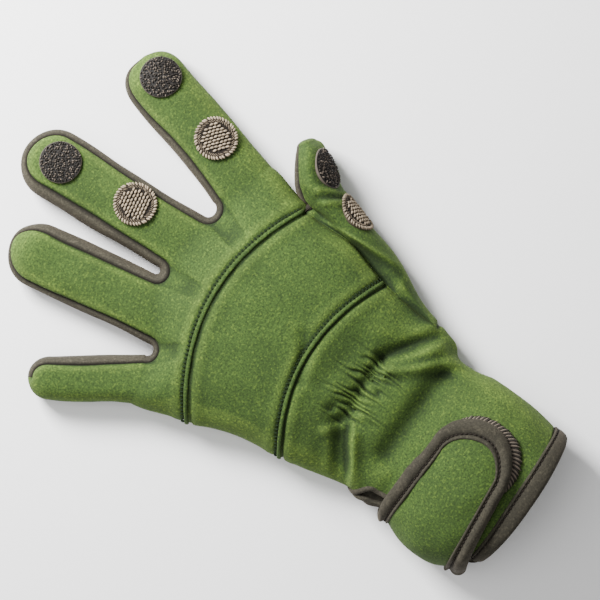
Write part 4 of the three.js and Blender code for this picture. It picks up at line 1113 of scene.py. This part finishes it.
def coinBase(node):
    # the coin's own frame, and a quadratic fitted to the upper faces of its solid
    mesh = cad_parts[node].data
    centres = np.empty(len(mesh.polygons) * 3)
    facing = np.empty(len(mesh.polygons) * 3)
    mesh.polygons.foreach_get("center", centres)
    mesh.polygons.foreach_get("normal", facing)
    centres, facing = centres.reshape(-1, 3) / mm, facing.reshape(-1, 3)
    middle = centres.mean(0)
    up = np.linalg.svd(centres - middle)[2][2]
    up = up * (1 if up[2] > 0 else -1)
    side = unit(np.cross([0.0, 1.0, 0.0], up))
    fore = np.cross(up, side)
    upper = (facing @ up) > 0.5
    local = (centres[upper] - middle) @ np.column_stack([side, fore, up])
    x, y = local[:, 0], local[:, 1]
    terms = np.column_stack([np.ones_like(x), x, y, x * x, x * y, y * y])
    fitted = np.linalg.lstsq(terms, local[:, 2], rcond=None)[0]
    place = coinPlaces[node]
    middle = middle + np.array([place["nudge"][0], place["nudge"][1], 0]) - up * place["lower"]
    return middle, side, fore, up, fitted


def onCoin(base, x, y, lift):
    # a point over the coin's upper face, lifted along its own slope
    middle, side, fore, up, k = base
    height = k[0] + k[1] * x + k[2] * y + k[3] * x * x + k[4] * x * y + k[5] * y * y
    slopeX = k[1] + 2 * k[3] * x + k[4] * y
    slopeY = k[2] + k[4] * x + 2 * k[5] * y
    normal = unit(up - side * slopeX[..., None] - fore * slopeY[..., None])
    place = middle + side * x[..., None] + fore * y[..., None] + up * height[..., None]
    return place + normal * lift[..., None]


def coinBody(base, rimLift):
    # a disc: up its rounded side from a sunk foot, then inwards to its middle
    t = np.linspace(0, np.pi / 2, 7)
    inwards = np.linspace(coin["radius"] - 0.5, 0, coin["rings"] + 1)[1:]
    radius = np.concatenate([
        [coin["radius"] - 0.2, coin["radius"]], coin["radius"] - 0.5 * (1 - np.cos(t)), inwards])
    height = np.concatenate([
        [-coin["height"] - coin["sink"], -0.6], 0.5 * np.sin(t) - 0.5, np.zeros(len(inwards))])
    rim = np.exp(-(((radius - (coin["innerRing"] + coin["radius"]) / 2) / 1.0) ** 2))
    height = height + rimLift * rim * (height > -0.3)
    turn = np.linspace(0, 2 * np.pi, coin["turns"], endpoint=False)
    x = radius[:, None] * np.cos(turn)
    y = radius[:, None] * np.sin(turn)
    grid = onCoin(base, x, y, np.broadcast_to(height[:, None], x.shape))
    ids = np.arange(grid.shape[0] * grid.shape[1]).reshape(grid.shape[:2])
    turned = np.roll(ids, -1, axis=1)
    walls = np.stack([ids[:-1], turned[:-1], turned[1:], ids[1:]], -1).reshape(-1, 4)
    foot = grid[0].mean(0)
    points = np.concatenate([grid.reshape(-1, 3), [foot]])
    closing = np.stack([turned[0], ids[0], np.full(coin["turns"], ids.size)], -1)
    shade = np.concatenate([np.repeat(np.where(radius > coin["radius"] - 0.3, 0.5, 0), coin["turns"]), [0]])
    # the innermost ring is a pole: its points are joined
    points, quads, triangles, idOf = welded(points, walls)
    kept = np.zeros(len(points))
    kept[idOf] = shade
    return points, quads, np.concatenate([triangles, idOf[closing]]), kept


def hookPaths(base):
    # hooks in staggered rows, jittered, each a stem that bends over to a random side
    p = coin["hookPitch"]
    gridX, gridY = np.meshgrid(np.arange(-9, 9, p), np.arange(-9, 9, p * 0.87))
    gridX = gridX + (np.arange(gridX.shape[0]) % 2)[:, None] * p / 2
    x = (gridX + rng.uniform(-0.25, 0.25, gridX.shape)).ravel()
    y = (gridY + rng.uniform(-0.25, 0.25, gridX.shape)).ravel()
    inside = np.hypot(x, y) < coin["radius"] - 0.7
    x, y = x[inside], y[inside]
    turn = rng.uniform(0, 2 * np.pi, len(x))
    bend = np.array([0, 0.05, 0.35, 0.8, 1.0])
    rise = np.array([-0.15, 0.6, 1.0, 0.95, 0.55])
    px = x[:, None] + np.cos(turn)[:, None] * bend * coin["hookReach"]
    py = y[:, None] + np.sin(turn)[:, None] * bend * coin["hookReach"]
    tall = coin["hookHeight"] * rng.uniform(0.7, 1.1, len(x))[:, None]
    return onCoin(base, px, py, rise * tall)


def loopPaths(base, turn):
    # yarn loops in rows, each a low arch, with a ring of short stitches round the rim
    a, b = coin["loopAlong"], coin["loopAcross"]
    gridX, gridY = np.meshgrid(np.arange(-8, 8, a), np.arange(-8, 8, b))
    gridX = gridX + (np.arange(gridX.shape[0]) % 2)[:, None] * a / 2
    x = (gridX + rng.uniform(-0.15, 0.15, gridX.shape)).ravel()
    y = (gridY + rng.uniform(-0.1, 0.1, gridX.shape)).ravel()
    inside = np.hypot(x, y) < coin["innerRing"] - 0.3
    x, y = x[inside], y[inside]
    s = np.linspace(-1, 1, 5)
    px = x[:, None] + s * a * 0.42
    py = y[:, None] + s * rng.uniform(-0.2, 0.2, len(x))[:, None]
    arch = coin["loopHeight"] * (1 - s * s) * rng.uniform(0.75, 1.1, len(x))[:, None]
    cos, sin = math.cos(turn), math.sin(turn)
    rows = onCoin(base, px * cos - py * sin, px * sin + py * cos, arch)
    count = coin["rimStitches"]
    angle = np.linspace(0, 2 * np.pi, count, endpoint=False) + rng.uniform(-0.03, 0.03, count)
    rings = []
    for inner, outer, lean, low, high in (
            (coin["rimInner"], coin["rimOuter"], 0.05, -0.1, 0.35),
            (coin["hatchInner"], coin["hatchOuter"], 0.1, 0.05, 0.2)):
        reach = mix(inner, outer, (s + 1) / 2)
        slant = angle[:, None] + s * lean
        bow = np.broadcast_to(low + high * (1 - s * s), slant.shape)
        rings.append(onCoin(base, reach * np.cos(slant), reach * np.sin(slant), bow))
    return rows, rings[0], rings[1]


for name in ("index", "middle", "thumb"):
    node = f"{name}_hook_dot"
    base = coinBase(node)
    points, quads, triangles, shade = coinBody(base, 0.0)
    paths = hookPaths(base)
    taper = np.array([1.2, 1, 1, 0.9, 0.7])
    hooks, hookQuads = tubes(paths, coin["hookRadius"] * taper, 4, up=base[3] + 0.01)
    # about half the hooks are mixed towards the pale colour at random: painted glints
    hasPaintedGlint = rng.uniform(0, 1, len(paths)) < coin["paintedGlintHooks"]
    pale = np.where(hasPaintedGlint, rng.uniform(0.35, 0.85, len(paths)), 0.1)
    makePiece(node + "_tape", points, quads, triangles, hookTape, [node], shade=shade)
    makePiece(node + "_hooks", hooks, hookQuads, noTriangles, hookTape,
              shade=np.repeat(pale, paths.shape[1] * 4))
    node = f"{name}_loop_dot"
    base = coinBase(node)
    points, quads, triangles, shade = coinBody(base, 0.2)
    makePiece(node + "_tape", points, quads, triangles, loopTape, [node], shade=shade * 0.3)
    rows, rim, hatch = loopPaths(base, coinPlaces[node]["turn"])
    thin = np.array([0.6, 1, 1.05, 1, 0.6])
    yarns = [tubes(rows, coin["loopRadius"] * thin, up=base[3] + 0.01),
             tubes(rim, coin["rimRadius"] * thin, up=base[3] + 0.01),
             tubes(hatch, coin["hatchRadius"] * thin, up=base[3] + 0.01)]
    yarn, yarnQuads = together(*yarns)
    # the thumb's loop coin has its yarn darker by its pale factor: painted shade
    pale = [np.repeat(rng.uniform(low, high, len(points)), 5 * 6) * coinPlaces[node].get("pale", 1)
            for points, low, high in ((rows, 0.65, 1.0), (rim, 0.6, 1.0), (hatch, 0.3, 0.6))]
    makePiece(node + "_yarn", yarn, yarnQuads, noTriangles, loopTape, shade=np.concatenate(pale))
print("coins: made")


# Strap: a tongue of neoprene from under the ulnar side onto the back of the cuff, its edge bound.
strap = {
    "width": 40.0, "along": 0.547, "tip": 0.175, "start": 112.0, "wall": 2.2, "clear": 2.1,
    "sideSteps": 120, "tipSteps": 72, "flare": 0.27,
    "flareAlong": [0, 0.45, 0.75, 0.93, 1], "flareShare": [1, 1, 0.55, 0.12, 0],
    "panelEdge": 6.6, "puff": 0.9, "rippleLength": 13.0, "ripple": 0.3,
    "bandZone": 8.0,  # of the reach, which keeps its width while the rest shrinks with the inset
    "upperInset": 1.25, "upperBand": 0.73, "lowerFade": 0.85, "lowerBand": 1.0,
    # round the free end, from the upper side over the tip to the lower side, in degrees
    "tipTurns": [-90, -70, -30, 15, 58, 90],
    "tipInset": [1.25, 1.25, 1.6, 2.4, 3.4, 3.1],
    "tipBand": [0.73, 0.85, 1.05, 1.0, 0.87, 0.76],
}


def cuffPoint(angle, y):
    # the cuff's point at an angle and a place along the hand, found by halving the station
    angle, y = np.broadcast_arrays(np.asarray(angle, float), np.asarray(y, float))
    low, high = np.full(y.shape, float(wrist)), np.full(y.shape, float(cuffEnd))
    for _ in range(22):
        station = (low + high) / 2
        above = handPoint(station, angle)[..., 1] > y
        low, high = np.where(above, station, low), np.where(above, high, station)
    place = handPoint(low, angle)
    return place + bulgeShift(place)


def cuffNormal(angle, y):
    # cross product of the slopes round the cuff and along the hand, over a few millimetres
    round3 = cuffPoint(angle + 3, y) - cuffPoint(angle - 3, y)
    return unit(np.cross(round3, cuffPoint(angle, y + 2) - cuffPoint(angle, y - 2)))


def cuffAngleAt(x, y):
    ulnar, radial = cuffPoint(-90, y)[..., 0], cuffPoint(90, y)[..., 0]
    return degreesOf(2 * (x - ulnar) / (radial - ulnar) - 1)


strapY = wristY - strap["along"] * hand["cuffLength"]
strapRound = axisX + strap["tip"] * hand["cuffWidth"] - strap["width"] / 2


def smoothStep(t):
    t = np.clip(t, 0, 1)
    return t * t * (3 - 2 * t)


def insetReach(reach, inset, band):
    # the outer zone of the strap moves in by the inset and its width is scaled; the rest shrinks
    zone = strap["bandZone"]
    depth = strap["width"] / 2 - reach
    edge = strap["width"] / 2 - inset
    return np.where(depth < zone, edge - band * depth,
                    (edge - band * zone) * reach / (strap["width"] / 2 - zone))


def strapPlaces(reach):
    # angles and places along the hand: out along the upper edge, round the free end and back
    # along the lower edge; reach is the distance from the middle line, one or more columns
    reach = np.atleast_2d(np.asarray(reach, float))
    m = np.linspace(0, 1, strap["sideSteps"] + 1)[:-1, None]
    wide = ease(strap["flareShare"], strap["flareAlong"], m)
    upperReach = insetReach(reach, strap["upperInset"], strap["upperBand"])
    upperY = strapY + upperReach * (1 + strap["flare"] * wide)
    fade = smoothStep((m - 1 + strap["lowerFade"]) / strap["lowerFade"])
    lowerBand = mix(strap["lowerBand"], strap["tipBand"][-1], fade)
    lowerY = strapY - insetReach(reach, strap["tipInset"][-1] * fade, lowerBand)
    degrees = np.linspace(-90, 90, strap["tipSteps"] + 1)[:, None]
    tipReach = insetReach(reach, ease(strap["tipInset"], strap["tipTurns"], degrees),
                          ease(strap["tipBand"], strap["tipTurns"], degrees))
    turn = np.radians(degrees)
    tipX, tipY = strapRound + tipReach * np.cos(turn), strapY - tipReach * np.sin(turn)
    upper = mix(-strap["start"], cuffAngleAt(strapRound, upperY), m)
    lower = mix(-strap["start"], cuffAngleAt(strapRound, lowerY), m)[::-1]
    return (np.concatenate([upper, cuffAngleAt(tipX, tipY), lower]),
            np.concatenate([upperY, tipY, lowerY[::-1]]))


panelReach = np.linspace(strap["width"] / 2 - strap["panelEdge"], 0, 26)
angle, y = strapPlaces(panelReach)
inwards = panelReach[0] - panelReach
puff = strap["puff"] * np.sin(np.clip(inwards / 9, 0, 1) * np.pi / 2) - 0.5
surface = cuffPoint(angle, y)
lift = strap["clear"] + strap["wall"] + puff + strap["ripple"] * ripple(
    surface.reshape(-1, 3), strap["rippleLength"], 21).reshape(angle.shape)
surface = surface + cuffNormal(angle, y) * lift[..., None]
points, quads, triangles, idOf = welded(surface.reshape(-1, 3), gridQuads(*angle.shape, 0, True))
# a dark line along the panel's edge under the binding: a dark joint and painted shadow both
shade = np.zeros(len(points))
shade[idOf] = np.broadcast_to(0.9 * np.exp(-((inwards / 0.9) ** 2)), angle.shape).ravel()
if normalsOf(points, quads, triangles)[:, 2].mean() < 0:
    quads, triangles = quads[:, ::-1], triangles[:, ::-1]
sheet = walled(points, quads, triangles, normalsOf(points, quads, triangles), strap["wall"])
makePiece("wrist_strap_cloth", *sheet, jersey, ["wrist_strap"], shade=np.tile(shade, 2))

# Strap binding: a folded band round the edge; its section is a round roll, then a groove with the
# stitches, then a thin lip. Columns: distance in from the edge, height above the cuff.
binding = {
    "section": np.array([
        [0.3, 0.5], [-0.5, 1.3], [-0.75, 2.6], [-0.5, 3.9], [0.3, 4.95], [1.5, 5.6], [2.8, 5.75],
        [4.0, 5.4], [4.9, 4.75], [5.4, 4.2], [5.8, 4.1], [6.3, 4.45], [6.9, 4.8], [7.4, 4.75],
        [7.75, 4.3], [7.7, 3.5], [7.0, 2.6], [5.0, 1.6], [2.5, 0.7],
    ]),
    "stitchIn": 5.65, "stitchHeight": 4.25, "stitchPitch": 2.1, "stitchLong": 1.35, "stitchRadius": 0.3,
    "fillSteps": 3, "wrinkle": 0.2, "wrinkleLength": 4.5, "knob": 0.25, "knobAngle": -92.0, "knobWide": 8.0,
}


def smoothSection(section, steps):
    # a closed smooth line through the section's corners, by Catmull-Rom cubics
    before, after, second = (np.roll(section, k, axis=0) for k in (1, -1, -2))
    t = (np.arange(steps) / steps)[None, :, None]
    points = hermite(section[:, None], after[:, None], (after - before)[:, None] / 2,
                     (second - section)[:, None] / 2, t)
    return points.reshape(-1, 2)


section = smoothSection(binding["section"], binding["fillSteps"])
angle, y = strapPlaces(strap["width"] / 2 - section[:, 0])
ground, normal = cuffPoint(angle, y), cuffNormal(angle, y)
lowerRun = np.arange(len(angle))[:, None] > strap["sideSteps"] + strap["tipSteps"]
swell = 1 + binding["knob"] * lowerRun * bell(angle - binding["knobAngle"], binding["knobWide"])
lift = section[:, 1] * swell + binding["wrinkle"] * ripple(
    ground.reshape(-1, 3), binding["wrinkleLength"], 31).reshape(angle.shape)
# painted shade in the groove where the stitches lie
inGroove = np.exp(-(((section[:, 0] - binding["stitchIn"]) / 0.5) ** 2)) * (section[:, 1] > 3.9)
bandLine = ground + normal * lift[..., None]
sweep("strap_binding_band", bandLine, suede, ["strap_binding"], 0.9 * inGroove)


def stitchRow(name, line, normals, pitch, long, radius):
    # short bowed stitches along a line
    at = placesAlong(line, pitch)
    back, ahead = (pick(line, np.clip(at + k, 0, len(line) - 1.001)) for k in (-1, 1))
    up = pick(normals, at)
    points, quads = stitches(pick(line, at), unit(ahead - back), up, long, 0.22, radius, up[:, None])
    makePiece(name, offFloor(points), quads, noTriangles, threadBrown)


angle, y = strapPlaces([strap["width"] / 2 - binding["stitchIn"]])
line = (cuffPoint(angle, y) + cuffNormal(angle, y) * binding["stitchHeight"])[:, 0]
stitchRow("strap_binding_stitches", line, cuffNormal(angle, y)[:, 0], binding["stitchPitch"],
          binding["stitchLong"], binding["stitchRadius"])

# Hook patch under the free end: a thin tape whose coarse slanted ribs stick out past the binding.
patch = {
    "inner": 11.0, "height": 1.5, "under": 0.4, "steps": 90, "ribs": 58, "ribRadius": 0.46,
    "ribSlant": 10.0, "ribInner": 15.5, "tapeIn": 0.9,
    "turns": [-54, -33, -8, 6, 32, 59, 79, 95],
    "outer": [19.2, 21.1, 21.5, 21.4, 22.2, 21.1, 18.9, 17.6],
}


def patchPoint(degrees, reach, rise):
    # a place round the free end's middle, lifted off the cuff
    turn = np.radians(degrees)
    x, y = strapRound + reach * np.cos(turn), strapY - reach * np.sin(turn)
    angle = cuffAngleAt(x, y)
    return cuffPoint(angle, y) + cuffNormal(angle, y) * rise[..., None]


degrees = np.linspace(patch["turns"][0], patch["turns"][-1], patch["steps"] + 1)[:, None]
outer = ease(patch["outer"], patch["turns"], degrees) - patch["tapeIn"]
t = np.linspace(0, 1, 9)[None]
reach = np.concatenate([mix(patch["inner"], outer, t), mix(outer, patch["inner"], t)], 1)
rise = np.broadcast_to(np.repeat([patch["height"], patch["under"]], 9), reach.shape)
sweep("strap_hook_patch_tape", patchPoint(degrees, reach, rise), hookTape, ["strap_hook_patch"])
count = patch["ribs"]
middle = np.linspace(patch["turns"][0], patch["turns"][-1] - patch["ribSlant"], count)[:, None]
middle = middle + rng.uniform(-0.4, 0.4, (count, 1))
s = np.linspace(0, 1, 7)[None]
outer = ease(patch["outer"], patch["turns"], middle + patch["ribSlant"] / 2)
outer = outer * rng.uniform(0.99, 1.015, (count, 1))
rise = np.broadcast_to(patch["height"] + 0.25 + 0.45 * np.sin(np.pi * s) - 1.0 * s ** 4, (count, 7))
paths = patchPoint(middle + patch["ribSlant"] * s, mix(patch["ribInner"], outer, s), rise)
points, quads = tubes(paths, patch["ribRadius"] * np.array([1, 1, 1, 1.05, 1.05, 0.9, 0.5]))
pale = np.tile(np.repeat([0.85, 0.1], 7 * 6), count // 2)
makePiece("strap_hook_patch_ribs", points, quads, noTriangles, hookTape, shade=pale)
print("strap: made")

# Cuff binding: a band folded over the open end. Columns: how far from the hem line towards the
# end, in millimetres, and height over the skin; the stitches lie in its groove.
hemBand = {
    "section": np.array([
        [-2.7, -0.2], [-2.3, 0.55], [-1.6, 0.75], [-1.0, 0.35], [-0.5, 0.3], [0.2, 0.9], [2.6, 1.35],
        [5.6, 1.35], [7.6, 0.9], [8.5, -0.1], [8.6, -1.4], [8.1, -2.7], [6.5, -3.3], [2.5, -3.3],
        [-1.5, -2.9],
    ]),
    "outer": 8.6, "stitchIn": -0.75, "stitchPitch": 2.3, "stitchLong": 1.5, "stitchRadius": 0.26,
    "fillSteps": 3,
    # from the ulnar side (-1) to the thumb side (1): how far the hem lies off the frame's, and
    # the share of the band's width
    "shares": [-1, -0.6, 0, 0.6, 1],
    "shift": [-3.4, -3.5, -3.5, -2.0, 0.0],
    "wide": [0.74, 0.74, 0.74, 0.72, 0.68],
}


def mouthGrid(offsets):
    # rings of the cuff's open end, from the slit over the back and round under the palm
    grids = []
    for angles, palm in ((cuffBackAngles, False), (cuffPalmAngles[::-1], True)):
        share = np.sin(np.radians(angles))[None]
        shift = ease(hemBand["shift"], hemBand["shares"], share)
        wide = ease(hemBand["wide"], hemBand["shares"], share)
        at = hemBand["outer"] + (np.asarray(offsets, float)[:, None] - hemBand["outer"]) * wide + shift
        station = np.minimum(hem + at / lastRow, cuffEnd + 0.05)
        grids.append(handPoint(station, cuffAngles(station, angles[None], palm)))
    ring = np.concatenate([grids[0], grids[1][:, 1:]], 1)
    return ring + bulgeShift(ring)


section = smoothSection(hemBand["section"], hemBand["fillSteps"])
grid = mouthGrid(section[:, 0])
slopes = mouthGrid([0, 0.5])
downs = unit(slopes[1] - slopes[0])
aside = unit(np.gradient(slopes[0], axis=0))
mouthNormal = unit(np.cross(downs, aside))
mouthNormal *= np.sign((mouthNormal * (slopes[0] - slopes[0].mean(0))).sum(-1).mean())
rings = grid + mouthNormal[None] * section[:, 1][:, None, None]
rings[..., 2] = np.maximum(rings[..., 2], skin["floor"])
# painted shade in the groove where the stitches lie
groove = 0.9 * np.exp(-(((section[:, 0] - hemBand["stitchIn"]) / 0.5) ** 2)) * (section[:, 1] > 0)
sweep("cuff_binding_band", np.swapaxes(rings, 0, 1), suede, ["cuff_binding"], groove)
line = mouthGrid([hemBand["stitchIn"]])[0] + mouthNormal * 0.4
stitchRow("cuff_binding_stitches", line, mouthNormal, hemBand["stitchPitch"], hemBand["stitchLong"],
          hemBand["stitchRadius"])
print("cuff binding: made")

# Slit: bound lips along both edges and a suede fold that sinks between them.
slit = {"lip": 1.35, "sink": 4.0, "sinkSteps": 8}
slitStations = np.linspace(wrist + 0.04, hem + 0.02, 90)
upperLip = cuffGrid(slitStations, cuffBackAngles[:2], False)[:, 0]
lowerLip = cuffGrid(slitStations, cuffPalmAngles[:2], True)[:, 0]
upperLip, lowerLip = (lip + bulgeShift(lip) for lip in (upperLip, lowerLip))
t = np.linspace(0, 1, slit["sinkSteps"] + 1)[None, :, None]
inward = np.array([1.0, 0, 0.25])
gap = np.linalg.norm(upperLip - lowerLip, axis=1)[:, None, None]
fold = mix(upperLip[:, None], lowerLip[:, None], t)
fold = fold + inward * np.sin(np.pi * t) * np.minimum(slit["sink"], gap * 0.8) - inward * -0.6
points, quads, triangles, _ = welded(fold.reshape(-1, 3), gridQuads(*fold.shape[:2], 0))
if (normalsOf(points, quads, triangles)[:, 0]).mean() > 0:
    quads, triangles = quads[:, ::-1], triangles[:, ::-1]
sheet = walled(points, quads, triangles, normalsOf(points, quads, triangles), 0.8)
# the fold is a quarter of the way to the dark seam colour all over: painted shade in the slit's recess
makePiece("slit_fold", *sheet, suede, shade=np.full(2 * len(points), 0.25))
for name, lip in (("slit_lip_back", upperLip), ("slit_lip_palm", lowerLip)):
    heading = unit(np.gradient(lip, axis=0))
    outward = unit(lip - [axisX, 0, 12] - heading * ((lip - [axisX, 0, 12]) * heading).sum(-1)[:, None])
    aside = np.cross(heading, outward)
    turn = np.linspace(0, 2 * np.pi, 16, endpoint=False)[None, :, None]
    across = slit["lip"] * (outward[:, None] * np.cos(turn) + 1.25 * aside[:, None] * np.sin(turn))
    rings = lip[:, None] - outward[:, None] * 0.7 + across
    rings[..., 2] = np.maximum(rings[..., 2], skin["floor"])
    sweep(name, rings, suede)
print("slit: made")


# Floor, lights and camera.
view = {
    "centre": (14.55, -2.2), "span": 265.2, "turn": -60.0, "lens": 200.0, "level": 15.0,
}


def makeFloor():
    material = bpy.data.materials.new("paleFloor")
    material.use_nodes = True
    shader = material.node_tree.nodes["Principled BSDF"]
    shader.inputs["Base Color"].default_value = toLinear("#fcfcfc")
    shader.inputs["Roughness"].default_value = 0.9
    bpy.ops.mesh.primitive_plane_add(size=6.0, location=(0, 0, -0.0004))
    floor = bpy.context.object
    floor.name = "floor"
    floor.data.materials.append(material)


def areaLight(name, place, size, power, colour="#ffffff"):
    light = bpy.data.lights.new(name, "AREA")
    light.energy, light.size, light.color = power, size, toLinear(colour)[:3]
    lamp = bpy.data.objects.new(name, light)
    lamp.location = place
    direction = np.array([0.014, 0, 0.02]) - np.array(place)
    lamp.rotation_euler = (
        math.atan2(math.hypot(direction[0], direction[1]), -direction[2]), 0,
        math.atan2(direction[1], direction[0]) - math.pi / 2)
    bpy.context.scene.collection.objects.link(lamp)


makeFloor()
areaLight("key", (0.14, 0.52, 0.44), 0.26, 18.5)
areaLight("fill", (-0.35, 0.4, 1.2), 0.9, 7.0)
world = bpy.data.worlds.new("softWhite")
world.use_nodes = True
world.node_tree.nodes["Background"].inputs[0].default_value = toLinear("#ffffff")
world.node_tree.nodes["Background"].inputs[1].default_value = 0.45
bpy.context.scene.world = world

camera = bpy.data.objects.new("camera", bpy.data.cameras.new("camera"))
camera.data.lens, camera.data.sensor_width = view["lens"], 36.0
distance = view["span"] / 2 / (18.0 / view["lens"])
camera.location = (view["centre"][0] * mm, view["centre"][1] * mm, (distance + view["level"]) * mm)
camera.rotation_euler = (0, 0, math.radians(view["turn"]))
camera.data.clip_start, camera.data.clip_end = 0.05, 20.0
bpy.context.scene.collection.objects.link(camera)
bpy.context.scene.camera = camera
print("stage: made")
